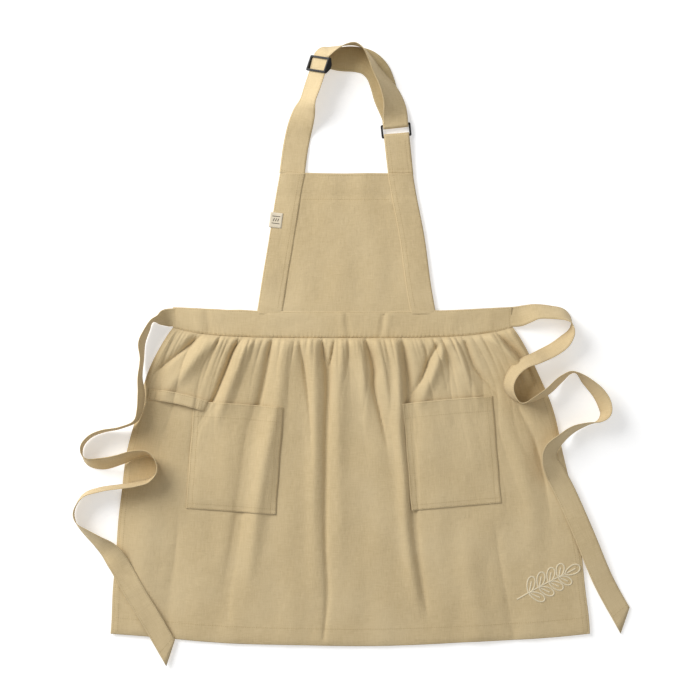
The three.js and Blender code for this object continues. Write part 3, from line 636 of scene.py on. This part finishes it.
band_front = band_grid(26, 380, 4.4, 1.0)
front = cloth("waistband_face", band_front, COTTON, 1.0)
facing = cloth("waistband_lining", band_grid(6, 120, 0.8, 0.0), COTTON_BACK, 0.8)
for piece, node, finish_slot in (
        (front, "waistband_front", "cotton"), (facing, "waistband_facing", "cotton_back")):
    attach(piece, "skirt")
    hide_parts(node)
along = np.linspace(2, 377, 600)
band_lines = [seam_on(band_front, row, along) for row in (1.6, 23.6)]
band_lines += [seam_on(band_front, np.linspace(2, 23, 40), column) for column in (2.5, 376.5)]
band_stitches = stitching("waistband_stitches", band_lines)
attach(band_stitches, "skirt")
print("waistband", band_front.shape)

# %% [markdown]
# ## Patch pockets
# Each pocket is a patch with a turned top, sewn down at its sides and bottom with two lines. It lies over
# the skirt's folds, so its height is the skirt's own height smoothed out, plus a little fullness, and its
# mouth stands off the skirt.

# %% Pockets
POCKETS = {"left_pocket": (-177, -156, -4, 0.35), "right_pocket": (148, -149, 5, -0.2)}
pocket_lines = []


def pocket_grid(x, y, turn, lean):
    u, v = np.meshgrid(np.linspace(-1, 1, 71), np.linspace(-1, 1, 85))
    sag = 1.2 * u ** 2 * (v + 1) / 2
    a, b = u * 67.5 + 0.7 * wander(v * 3, 0 * u, 61) * np.abs(u) ** 6, v * 81 - sag
    c, s = math.cos(math.radians(turn)), math.sin(math.radians(turn))
    px, py = x + a * c - b * s, y + a * s + b * c
    exact = skirt_height(px, py)
    soft = sum(skirt_height(px + dx, py + dy) for dx in (-9, 0, 9) for dy in (-14, 0, 14)) / 9
    inner = np.clip((1 - np.abs(u)) * 67.5 / 16, 0, 1) * np.clip((v + 1) * 81 / 20, 0, 1)
    inner = np.sin(inner * math.pi / 2)
    fullness = inner * (1.3 + 1.3 * (v + 1) / 2 + 0.7 * wander(u * 1.6 + lean, v * 1.8, 62 + int(x) % 7))
    mouth = 2.4 * np.exp(-(1 - v) * 81 / 26) * (1 - u ** 2) ** 1.2
    z = np.maximum(soft + 0.9, exact + 0.9) + fullness + mouth
    return np.stack([px, py, z], -1)


for name, (x, y, turn, lean) in POCKETS.items():
    grid = pocket_grid(x, y, turn, lean)
    pocket = cloth("patch_" + name, grid, COTTON, 0.7)
    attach(pocket, "skirt")
    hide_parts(name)
    down = np.linspace(0.8, 83.5, 200)
    across = np.linspace(1, 69, 200)
    for inset in (1.2, 4.6):
        pocket_lines += [seam_on(grid, down, inset), seam_on(grid, down, 70 - inset)]
        pocket_lines.append(seam_on(grid, inset * 0.95, across))
    pocket_lines += [seam_on(grid, 84 - 1.0, across), seam_on(grid, 84 - 11.5, across)]
pocket_stitches = stitching("pocket_stitches", pocket_lines)
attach(pocket_stitches, "skirt")
print("pocket seams", len(pocket_lines))

# %% [markdown]
# ## Towel loop
# A narrow band of doubled cloth runs from the side hem to the corner of the left pocket and stands off
# the skirt between its ends, so that a towel goes through it. Its ends are sewn down with several rows.

# %% Towel loop
LOOP_FROM, LOOP_TO, LOOP_WIDTH = np.array([-306.0, -61.0]), np.array([-218.6, -79.4]), 17.0


def towel_loop_grid():
    s, t = np.meshgrid(np.linspace(0, 1, 60), np.linspace(0.5, -0.5, 13), indexing="ij")
    run = LOOP_TO - LOOP_FROM
    length = np.hypot(*run)
    ahead, aside = run / length, np.array([-run[1], run[0]]) / length
    swing = 3.0 * np.sin(s * math.pi)
    x = LOOP_FROM[0] + ahead[0] * s * length + aside[0] * (t * LOOP_WIDTH + swing)
    y = LOOP_FROM[1] + ahead[1] * s * length + aside[1] * (t * LOOP_WIDTH + swing)
    rise = np.sin(math.pi * np.clip((s - 0.14) / 0.66, 0, 1)) ** 0.8
    on_pocket = np.clip((s - 0.55) / 0.22, 0, 1) ** 2
    z = np.maximum(skirt_height(x, y), 4.5) + 1.6 + 5.5 * rise + 4.2 * on_pocket
    z = z + 0.5 * (1 - (2 * t) ** 2) + 0.5 * wander(s * 6, t * 2, 71)
    return np.stack([x, y, z], -1)


loop_grid = towel_loop_grid()
towel_loop = cloth("towel_band", loop_grid, COTTON, 1.3)
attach(towel_loop, "skirt")
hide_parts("towel_loop")
rows = np.linspace(1, 58, 120)
loop_lines = [seam_on(loop_grid, rows, 1.4), seam_on(loop_grid, rows, 10.6)]
loop_lines += [seam_on(loop_grid, row, np.linspace(1.5, 10.5, 20)) for row in (2, 7, 49, 51.5, 54, 57)]
loop_stitches = stitching("towel_loop_stitches", loop_lines)
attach(loop_stitches, "skirt")
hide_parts("towel_loop_tack")
print("towel loop", round(float(np.hypot(*(LOOP_TO - LOOP_FROM))), 1), "mm long")

# %% [markdown]
# ## Bib
# The bib is a plain panel with a turned top hem. Two bands of folded webbing cloth run up its sides and
# go on as the neck strap.

# %% Bib panel
BIB_CENTRE, BIB_FOOT, BIB_TOP = -10.0, 64.8, 269.8


def bib_half(v):
    return 133.5 + (100.5 - 133.5) * v


def bib_height(x, y):
    v = (y - BIB_FOOT) / 205
    across = (x - BIB_CENTRE) / bib_half(v)
    low = np.exp(-((y - BIB_FOOT) / 14) ** 2)
    soft = 1.0 * wander(x / 36, y / 75, 81) + 0.6 * wander(x / 15, y / 50, 82)
    lines = 0.5 * np.exp(-(((x + 8 + 0.12 * (y - 150)) / 14) ** 2)) - 0.6 * np.exp(-(((y - 236) / 7) ** 2))
    return 3.6 + (soft + lines) * (1 - low) + 0.5 * low + 0.5 * (1 - across ** 2)


def bib_grid(rows, columns, from_v, to_v, drop_by=0.0, inset=1.0):
    u, v = np.meshgrid(np.linspace(-1, 1, columns), np.linspace(from_v, to_v, rows))
    x = BIB_CENTRE + u * (bib_half(v) - inset)
    y = BIB_FOOT + 205 * v
    y = y + 0.9 * wander(u * 4, 0 * v, 83) * np.clip(v, 0, 1) ** 10
    return np.stack([x, y, bib_height(x, y) - drop_by], -1)


bib_face = bib_grid(110, 120, -0.035, 1.0)
bib = cloth("bib_face", bib_face, COTTON, 0.8)
bib_hem = cloth("bib_hem_turning", bib_grid(14, 60, 0.81, 0.998, 0.95, 2.0), COTTON_BACK, 0.75)
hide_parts("bib_panel")
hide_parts("bib_top_hem")
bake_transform(bib)
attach(bib_hem, "bib")
hem_lines = [seam_on(bib_face, np.interp(v, [-0.035, 1.0], [0, 109]), np.linspace(22, 97, 200))
             for v in (0.81, 0.985)]
bib_stitches = stitching("bib_hem_stitches", hem_lines)
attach(bib_stitches, "bib")
print("bib", bib_face.shape)

# %% Bib bands


def band_on_bib(side):
    """A side band, as a grid from the waist up to the bib's top edge."""
    s, v = np.meshgrid(np.linspace(0, 1, 21), np.linspace(-0.03, 1.0, 130))
    inward = s if side < 0 else 1 - s
    x = BIB_CENTRE + side * (bib_half(v) - inward * 38 + 0.6 * wander(v * 7, 0 * s, 84 + side))
    y = BIB_FOOT + 205 * v
    edge = 1 - np.abs(2 * s - 1) ** 8
    z = bib_height(x, y) + 0.3 + 0.6 * edge + 0.3 * wander(v * 16, s * 2, 86 + side)
    return np.stack([x, y, z], -1)


for side, node in ((-1, "left_bib_band"), (1, "right_bib_band")):
    grid = band_on_bib(side)
    band = cloth("folded_" + node, grid, COTTON, 0.8)
    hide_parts(node)
    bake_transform(band)
    up = np.linspace(5, 128, 300)
    inner, outer = (19, 1) if side < 0 else (1, 19)
    columns = [outer, inner, inner + (-3.2 if side < 0 else 3.2)]
    lines = [seam_on(grid, up, column) for column in columns] + [seam_on(grid, 127.5, np.linspace(1, 19, 30))]
    sewn = stitching(node + "_stitches", lines)
    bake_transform(sewn)
print("bands sewn on")

# %% Woven label


def label_grid():
    s, t = np.meshgrid(np.linspace(-0.5, 0.5, 9), np.linspace(-0.5, 0.5, 11))
    lean = math.radians(-7)
    a, b = s * 19, t * 23
    x, y = -115.5 + a * math.cos(lean) - b * math.sin(lean), 199.5 + a * math.sin(lean) + b * math.cos(lean)
    return np.stack([x, y, bib_height(x, y) + 1.5 + 0.3 * (2 * s) ** 2 * (2 * t)], -1)


label_face = label_grid()
label = cloth("damask_label", label_face, LABEL_TAPE, 0.35)
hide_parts("woven_label")
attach(label, "bib")
# A generic mark: two rules with three plain leaves between them.
mark_lines = [seam_on(label_face, row, np.linspace(1.5, 6.5, 12)) for row in (7.6, 3.0)]
for column in (2.6, 4.0, 5.4):
    mark_lines.append(seam_on(label_face, np.linspace(4.4, 6.4, 8), column + np.linspace(-0.35, 0.35, 8)))
mark = stitching("label_mark", mark_lines, LABEL_THREAD, 0.9, 1.3, 1.1)
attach(mark, "bib")
print("label", label_face.shape)

# %% [markdown]
# ## Strips that stand and turn
# Ties and straps are long strips. Each lies as it fell: flat in places, on its edge in others, rolled
# over in between. A strip is given by stations, each with its place, its roll, the height it rests on
# and, where it is pinched, its width. Roll 0 is flat, and at -90 its right edge stands straight up.

# %% Strip maker
UP = np.array([0.0, 0.0, 1.0])
LAYER = 1.2


def strip_frames(stations, width, steps=8, origin=(0, 0)):
    """Middle points, directions across, and widths, along a smooth line through the stations."""
    full = []
    for station in stations:
        x, y, roll, rest = station[:4]
        wide = station[4] if len(station) > 4 else width
        lift = wide / 2 * abs(math.sin(math.radians(roll))) + LAYER / 2 * abs(math.cos(math.radians(roll)))
        full.append([x + origin[0], y + origin[1], rest + lift, roll, wide])
    line = smooth_line(full, steps)
    middle, roll, wide = line[:, :3], np.radians(line[:, 3:4]), line[:, 4:5]
    along = np.gradient(middle, axis=0)
    along[:, 2] = 0
    along /= np.linalg.norm(along, axis=1, keepdims=True)
    left = np.cross(UP, along)
    return middle, left * np.cos(roll) + UP * np.sin(roll), wide


def strip_grid(middle, across, wide, columns=11, curl=0.5, seed=0, slant=0.0):
    """The strip's grid. curl bows it across its width, and slant cuts its end at an angle."""
    share = np.linspace(0.5, -0.5, columns)
    along = np.gradient(middle, axis=0)
    along /= np.linalg.norm(along, axis=1, keepdims=True)
    face = np.cross(along, across)
    grid = middle[:, None] + across[:, None] * (share[:, None] * wide[:, None])
    length = np.linalg.norm(np.diff(middle, axis=0), axis=1).cumsum()
    run = np.concatenate([[0], length])[:, None]
    bow = curl * (1 - (2 * share) ** 2) + 0.35 * wander(run / 14, share * 3, 90 + seed)
    grid = grid + face[:, None] * bow[..., None]
    if slant:
        last = np.clip(1 - (run[-1] - run) / 22, 0, 1)
        grid = grid - along[:, None] * (slant * share * last)[..., None]
    grid[..., 2] = np.maximum(grid[..., 2], 0.7)
    return grid


def edge_seams(grid, inset, ends=()):
    """Stitch lines along both edges of a strip, which show on both of its faces."""
    rows, columns = grid.shape[:2]
    down = np.linspace(0.5, rows - 1.5, rows * 2)
    over = [seam_on(grid, down, inset), seam_on(grid, down, columns - 1 - inset)]
    for row in ends:
        over.append(seam_on(grid, row, np.linspace(inset, columns - 1 - inset, 20)))
    return [(place + normal * face * 0.5, normal * face) for place, normal in over for face in (1, -1)]


# %% [markdown]
# ## Neck strap
# The left strap leans on its outer edge, goes up through the slider, over the top and down to the ring.
# There it folds round the ring's bar and comes back under itself to the slider's middle bar. The right
# strap holds the ring's other bar.

# %% Neck strap, left and over the top
NECK = (BIB_CENTRE, BIB_TOP + 0.3)
STRAP_FOOT = 81.5
RUN = np.array([1.0, 3.0]) / math.sqrt(10)
RING = np.array([STRAP_FOOT - 7, 64.0, 3.7])
RING_TURN = math.radians(6)


def up_strap(reach):
    """A place on the straight stretch, that far up the left strap."""
    return tuple(np.array([11.5 - STRAP_FOOT, 69.0]) + RUN * (reach - 69))


def round_bar(bar, bend, over, under, leg_over, leg_under):
    """Frames of a strap that turns back round one of the ring's bars."""
    top, bottom = RING[2] + 1.5 + over + 0.6, RING[2] - 1.5 - under - 0.6
    radius = (top - bottom) / 2
    places = [(leg_over, top)]
    for angle in np.linspace(0, math.pi, 15):
        places.append((bar + bend * (1.5 - 0.2 * radius + radius * math.sin(angle)),
                       (top + bottom) / 2 + radius * math.cos(angle)))
    places.append((leg_under, bottom))
    c, s = math.cos(RING_TURN), math.sin(RING_TURN)
    middle = [(NECK[0] + RING[0] - y * s, NECK[1] + RING[1] + y * c, z) for y, z in places]
    return np.array(middle), np.array([c, s, 0.0])


left_stations = [
    (-STRAP_FOOT, -2, 0, 3.7), (-STRAP_FOOT + 2, 14, 0, 1.6), (-STRAP_FOOT + 5, 36, 0, 0.6),
    (-71.5, 61, 0, 0.7),
    (*up_strap(90), -25, 2.5), (*up_strap(108), -50, 6), (*up_strap(130), -50, 6), (*up_strap(153), -50, 6),
    (*up_strap(182), -50, 6), (-25, 181, -64, 5), (-13, 186, -76, 3), (0, 190, -84, 2.3), (13, 191, -88, 2.3),
    (25, 185, -84, 2.3), (36, 170, -77, 2.3), (45, 153, -69, 2.3), (57, 135, -58, 2.5), (67, 116, -43, 3),
    (72, 99, -28, 4.5), (RING[0] - 1.5, RING[1] + 19, -8, 6.5),
]
middle, across, wide = strip_frames(left_stations, 38, 8, NECK)
fold_middle, ring_across = round_bar(8.5, -1, 3.0, 0.5, 10.5, 12.5)
middle = np.vstack([middle, fold_middle])
across = np.vstack([across, np.tile(ring_across, (len(fold_middle), 1))])
wide = np.vstack([wide, np.full((len(fold_middle), 1), 38.0)])
front_grid = strip_grid(middle, across, wide, 15, 0.25, 1)
strap_front = cloth("neck_strap_front", front_grid, COTTON, 1.1, 0.0)
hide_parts("neck_strap_outer")
front_sewn = stitching("neck_strap_stitches", edge_seams(front_grid, 0.9, (2,)))
for piece in (strap_front, front_sewn):
    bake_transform(piece)
print("neck strap rows", len(front_grid))

# %% Strap end, back to the slider
LEAN = math.radians(50)
FACE = np.array([-RUN[1] * math.sin(LEAN), RUN[0] * math.sin(LEAN), math.cos(LEAN)])


def under_slider(reach):
    """A station of the sewn end, held under the slider's middle bar."""
    x, y = up_strap(reach)
    return (x - FACE[0] * 5.4, y - FACE[1] * 5.4, 50, 6 - FACE[2] * 5.4)


start = fold_middle[-1][:2] - np.array(NECK)
away = np.array([-math.sin(RING_TURN), math.cos(RING_TURN)])
back_stations = [
    (*start, 0, 0.5), (*(start + 8 * away), 0, 0.5), (60, 114, 0, 0.5), (54, 135, 0, 0.5), (46, 153, 0, 0.5),
    (32, 166, 0, 0.5), (13, 171, 0, 0.5), (-5, 171, 8, 0.5), (-21, 170, 26, 0.5), under_slider(175),
    under_slider(165),
]
back_grid = strip_grid(*strip_frames(back_stations, 38, 8, NECK), 13, 0.3, 2)
strap_back = cloth("neck_strap_end", back_grid, COTTON_BACK, 1.1, 0.0)
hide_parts("neck_strap_return")
back_sewn = stitching("neck_strap_end_stitches", edge_seams(back_grid, 0.9))
for piece in (strap_back, back_sewn):
    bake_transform(piece)
print("strap end rows", len(back_grid))

# %% Right strap
under_middle, _ = round_bar(-8.5, 1, 0.5, 0.5, -12.5, -42.5)
foot = np.array([[NECK[0] + STRAP_FOOT, NECK[1] - 2, 4.3]])
rise = np.linspace(foot[0], under_middle[0], 14)[1:-1]
rise[:, 2] = 4.3 + (under_middle[0][2] - 4.3) * np.linspace(0, 1, 12) ** 2
right_middle = np.vstack([
    foot, rise, under_middle[:-1], np.linspace(under_middle[-2], under_middle[-1], 10)[1:]])
blendin = np.clip(np.linspace(0, 1.6, len(right_middle)), 0, 1)[:, None]
right_across = -(np.array([1.0, 0, 0]) * (1 - blendin) + ring_across * blendin)
right_grid = strip_grid(right_middle, right_across, np.full((len(right_middle), 1), 38.0), 15, 0.3, 3)
strap_right = cloth("right_strap_face", right_grid, COTTON, 1.1, 0.0)
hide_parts("right_strap")
right_lines = edge_seams(right_grid[:14], 0.9, (2,)) + edge_seams(right_grid[:14], 2.6)
right_sewn = stitching("right_strap_stitches", right_lines)
for piece in (strap_right, right_sewn):
    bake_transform(piece)
print("right strap rows", len(right_grid))

# %% [markdown]
# ## Waist ties
# Each tie leaves its end of the waistband, stands on its edge in loops as it fell, and ends flat with a
# slanted cut. Where a tie lies over the skirt it rests on the skirt's folds.

# %% Tie shapes
TIE_WIDTH, FREE, ON_CLOTH = 31, 0.5, 3.2
LEFT_END, RIGHT_END = (-270, 54.5), (238, 54.5)
LEFT_TIE = [
    (5, 0, 0, 2.6, 26), (-8, -1, -20, 1, 28), (-18, -4, -60, 0.6), (-30, -6, -85, FREE),
    (-38, -20, -80, FREE),
    (-45, -39, -77, FREE), (-45, -62, -85, FREE), (-47, -90, -82, ON_CLOTH), (-45, -114, -77, ON_CLOTH),
    (-47, -137, -80, ON_CLOTH), (-54, -155, -85, ON_CLOTH), (-76, -165, -84, ON_CLOTH),
    (-104, -171, -82, FREE),
    (-123, -179, -84, FREE), (-134, -192, -88, FREE), (-134, -207, -97, FREE), (-125, -217, -112, FREE),
    (-105, -219, -125, FREE), (-79, -213, -122, ON_CLOTH), (-56, -205, -116, ON_CLOTH),
    (-36, -204, -106, ON_CLOTH), (-24, -215, -95, ON_CLOTH), (-22, -230, -92, ON_CLOTH),
    (-33, -243, -96, ON_CLOTH), (-52, -249, -99, ON_CLOTH), (-80, -253, -100, ON_CLOTH),
    (-110, -258, -100, FREE),
    (-130, -265, -97, FREE), (-142, -278, -95, FREE), (-147, -294, -95, FREE), (-142, -309, -100, 0.8),
    (-128, -322, -113, 2.2), (-111, -335, -130, ON_CLOTH), (-94, -350, -158, 4.2), (-81, -368, -180, 4.4),
    (-57, -411, -180, ON_CLOTH), (-30, -456, -180, ON_CLOTH), (-3, -503, -180, ON_CLOTH),
]
RIGHT_TIE = [
    (-5, 0, 0, 2.6, 29), (10, 1, -10, 1.2), (21, 4, -25, 0.6), (36, 8, -42, FREE), (58, 7, -50, FREE),
    (76, 4, -58, FREE), (87, -6, -80, FREE), (88, -21, -105, FREE), (78, -36, -125, FREE),
    (59, -50, -128, 1.5),
    (38, -60, -125, ON_CLOTH), (17, -69, -120, ON_CLOTH), (1, -83, -118, ON_CLOTH),
    (-6, -101, -115, ON_CLOTH),
    (-1, -117, -103, ON_CLOTH), (12, -128, -92, ON_CLOTH), (29, -124, -105, ON_CLOTH),
    (50, -112, -112, ON_CLOTH),
    (72, -93, -110, 1.5), (86, -83, -100, FREE), (96, -83, -92, FREE), (110, -95, -110, FREE),
    (128, -113, -122, FREE), (138, -131, -125, FREE), (139, -144, -115, FREE), (130, -155, -95, FREE),
    (112, -160, -80, FREE), (92, -167, -68, 1.6), (74, -180, -60, ON_CLOTH), (57, -198, -45, ON_CLOTH),
    (56, -215, -35, ON_CLOTH), (66, -236, -10, ON_CLOTH), (80, -263, 0, ON_CLOTH), (107, -324, 0, 3.8),
    (137, -395, 0, 2), (170, -455, 0, FREE),
]


def lie_on_skirt(grid, clear=0.9):
    """Lifts each row of a strip until it lies on the skirt's folds, without a jump between rows."""
    side, drop = skirt_place(grid[..., 0], grid[..., 1])
    over = (np.abs(side) < 1.0) & (drop > 0.0) & (drop < 1.0)
    ground = np.where(over, skirt_height(grid[..., 0], grid[..., 1]), 0.0)
    lift = np.clip(ground + clear - grid[..., 2], 0, 8).max(1)
    reach = np.array([lift[max(0, i - 5):i + 6].max() for i in range(len(lift))])
    bell = np.exp(-np.linspace(-2, 2, 13) ** 2)
    eased = np.convolve(np.pad(reach, 6, mode="edge"), bell / bell.sum(), mode="valid")
    lifted = grid.copy()
    lifted[..., 2] += eased[:, None]
    return lifted


# %% Waist ties
for name, stations, end, slant, root in (
    ("left_tie", LEFT_TIE, LEFT_END, -28, (-271, -287)), ("right_tie", RIGHT_TIE, RIGHT_END, 28, (239, 255)),
):
    frames = strip_frames(stations, TIE_WIDTH, 8, end)
    grid = lie_on_skirt(strip_grid(*frames, 13, 0.5, 5 + len(name), slant))
    tie = cloth(name + "_strip", grid, COTTON, 1.0, 0.0)
    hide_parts(name)
    last = len(grid) - 1
    sewn = stitching(name + "_stitches", edge_seams(grid, 0.9, (last - 2,)))
    for piece in (tie, sewn):
        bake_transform(piece)
    print(name, grid.shape, "highest", round(float(grid[..., 2].max()), 1), "mm")

# %% [markdown]
# ## Embroidered sprig
# In the lower right corner is a small sprig in cream satin stitch: a stem with four pairs of leaves, each
# drawn as an outline with a midrib. Satin stitch is many short threads side by side, laid across the line
# they draw.

# %% Sprig
SPRIG_AT, SPRIG_LEAN = np.array([288.0, -346.0]), math.radians(28)


def on_sprig(s, t):
    """Pattern place of a point s along the stem and t beside it."""
    c, n = math.cos(SPRIG_LEAN), math.sin(SPRIG_LEAN)
    return SPRIG_AT[0] + s * c - t * n, SPRIG_AT[1] + s * n + t * c


def laid_line(s, t, lift=0.25):
    """A drawn line as places and normals on the skirt's face."""
    x, y = on_sprig(np.asarray(s, float), np.asarray(t, float))
    z = skirt_height(x, y)
    step = 0.6
    tilt_x = (skirt_height(x + step, y) - skirt_height(x - step, y)) / (2 * step)
    tilt_y = (skirt_height(x, y + step) - skirt_height(x, y - step)) / (2 * step)
    normal = np.stack([-tilt_x, -tilt_y, np.ones_like(x)], -1)
    normal /= np.linalg.norm(normal, axis=1, keepdims=True)
    return np.stack([x, y, z], -1) + normal * lift, normal


turn = np.linspace(0, math.tau, 80)
sprig_lines = [laid_line(np.linspace(-48, 34, 60), 1.2 * np.sin(np.linspace(0, 3, 60)))]
leaves = [(34, 12, 6.5, 0)] + [(s, 12.5 - 0.7 * i, 5.6, side) for i, s in enumerate((-27, -10, 7, 23))
                               for side in (-1, 1)]
for root, half, wide, side in leaves:
    lean = side * math.radians(52)
    c, n = math.cos(lean), math.sin(lean)
    out, aside = half * (1 - np.cos(turn)), wide * np.sin(turn) * (1 - 0.25 * np.cos(turn))
    sprig_lines.append(laid_line(root + out * c - aside * n, out * n + aside * c))
    rib = np.linspace(0.2, 1.4, 12) * half
    sprig_lines.append(laid_line(root + rib * c, rib * n))
sprig_points, sprig_faces, first = [], [], 0
for line, normals in sprig_lines:
    place, normal, run = evenly(line, normals, 0.6)
    points, faces = thread_bars(place, normal, np.cross(normal, run), 2.3, 0.75, 0.0)
    sprig_points.append(points)
    sprig_faces.append(faces + first)
    first += len(points)
sprig = mesh_piece("satin_sprig", np.vstack(sprig_points), np.vstack(sprig_faces), SATIN_THREAD)
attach(sprig, "skirt")
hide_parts("embroidered_sprig")
print("sprig threads", first // 24)

# %% [markdown]
# ## Slider and ring
# Both come from the frame, because the joints move them. A small bevel rounds their moulded edges, and
# their plastic has ridges across the bars, with painted shade in their grooves.

# %% Moulded fittings
SLIDER_FINISH = moulded_acetal("ridged_acetal_slider", (RUN[1] * math.cos(LEAN), -RUN[0] * math.cos(LEAN),
                                                         math.sin(LEAN)))
RING_FINISH = moulded_acetal("ridged_acetal_ring", (math.cos(RING_TURN), math.sin(RING_TURN), 0))
for name, finish in (("strap_slider", SLIDER_FINISH), ("strap_ring", RING_FINISH)):
    fitting = bpy.data.objects[name]
    fitting.data.materials.clear()
    fitting.data.materials.append(finish)
    rounded = fitting.modifiers.new("Moulded edge", "BEVEL")
    rounded.width = 0.0006
    rounded.segments = 3
    rounded.limit_method = "ANGLE"
print("fittings finished")

# %% [markdown]
# ## Floor, light and camera
# A pale, plain floor and one large soft light from the upper left, with weak light from all round, give
# the gentle shadows of a flat lay. The camera looks straight down.

# %% Stage and camera
drop_selection()
bpy.ops.mesh.primitive_plane_add(size=40, location=(0, 0, -0.0008))
floor = bpy.context.object
floor.name = "floor"
floor_finish, _, floor_shader = new_finish("matt_white_floor")
floor_shader.inputs["Base Color"].default_value = colour("#F4F4F4")
floor_shader.inputs["Roughness"].default_value = 0.9
floor_shader.inputs["Specular IOR Level"].default_value = 0.1
floor_shader.inputs["Emission Color"].default_value = colour("#FFFFFF")
floor_shader.inputs["Emission Strength"].default_value = 0.35
floor.data.materials.append(floor_finish)

world = bpy.data.worlds.new("soft_room")
bpy.context.scene.world = world
world.use_nodes = True
world.node_tree.nodes["Background"].inputs["Color"].default_value = (1.0, 1.0, 1.0, 1.0)
world.node_tree.nodes["Background"].inputs["Strength"].default_value = 0.36


def soft_light(name, place, aim, size, power):
    """A square area light that faces a point."""
    lamp = bpy.data.lights.new(name, "AREA")
    lamp.size, lamp.energy = size, power
    light = bpy.data.objects.new(name, lamp)
    bpy.context.scene.collection.objects.link(light)
    light.location = place
    light.rotation_euler = (Vector(aim) - Vector(place)).to_track_quat("-Z", "Y").to_euler()
    return light


soft_light("window", (-2.0, 1.5, 1.6), (0, 0, 0), 1.9, 92)
soft_light("fill", (1.8, -1.2, 2.2), (0, 0, 0), 2.0, 10)

camera = bpy.data.objects.new("camera", bpy.data.cameras.new("camera"))
camera.data.lens = 100
camera.location = (-0.004, 0.005, 2.917)
bpy.context.scene.collection.objects.link(camera)
bpy.context.scene.camera = camera
bpy.context.scene.view_settings.view_transform = "Standard"
print("camera looks straight down from", round(camera.location.z, 2), "m")

# %% [markdown]
# ## What the neck strap was cut to
# A strip's cut is its width and the length of its middle line, worked out here for the neck strap's face.

# %% Neck strap's cut


def cut_size(grid, width):
    """A strip's cut: its width, and the length of its middle line, in metres."""
    line = grid[:, grid.shape[1] // 2]
    return width * 0.001, float(np.linalg.norm(np.diff(line, axis=0), axis=1).sum()) * 0.001


print("strap cut", [round(v, 3) for v in cut_size(front_grid, 38)])
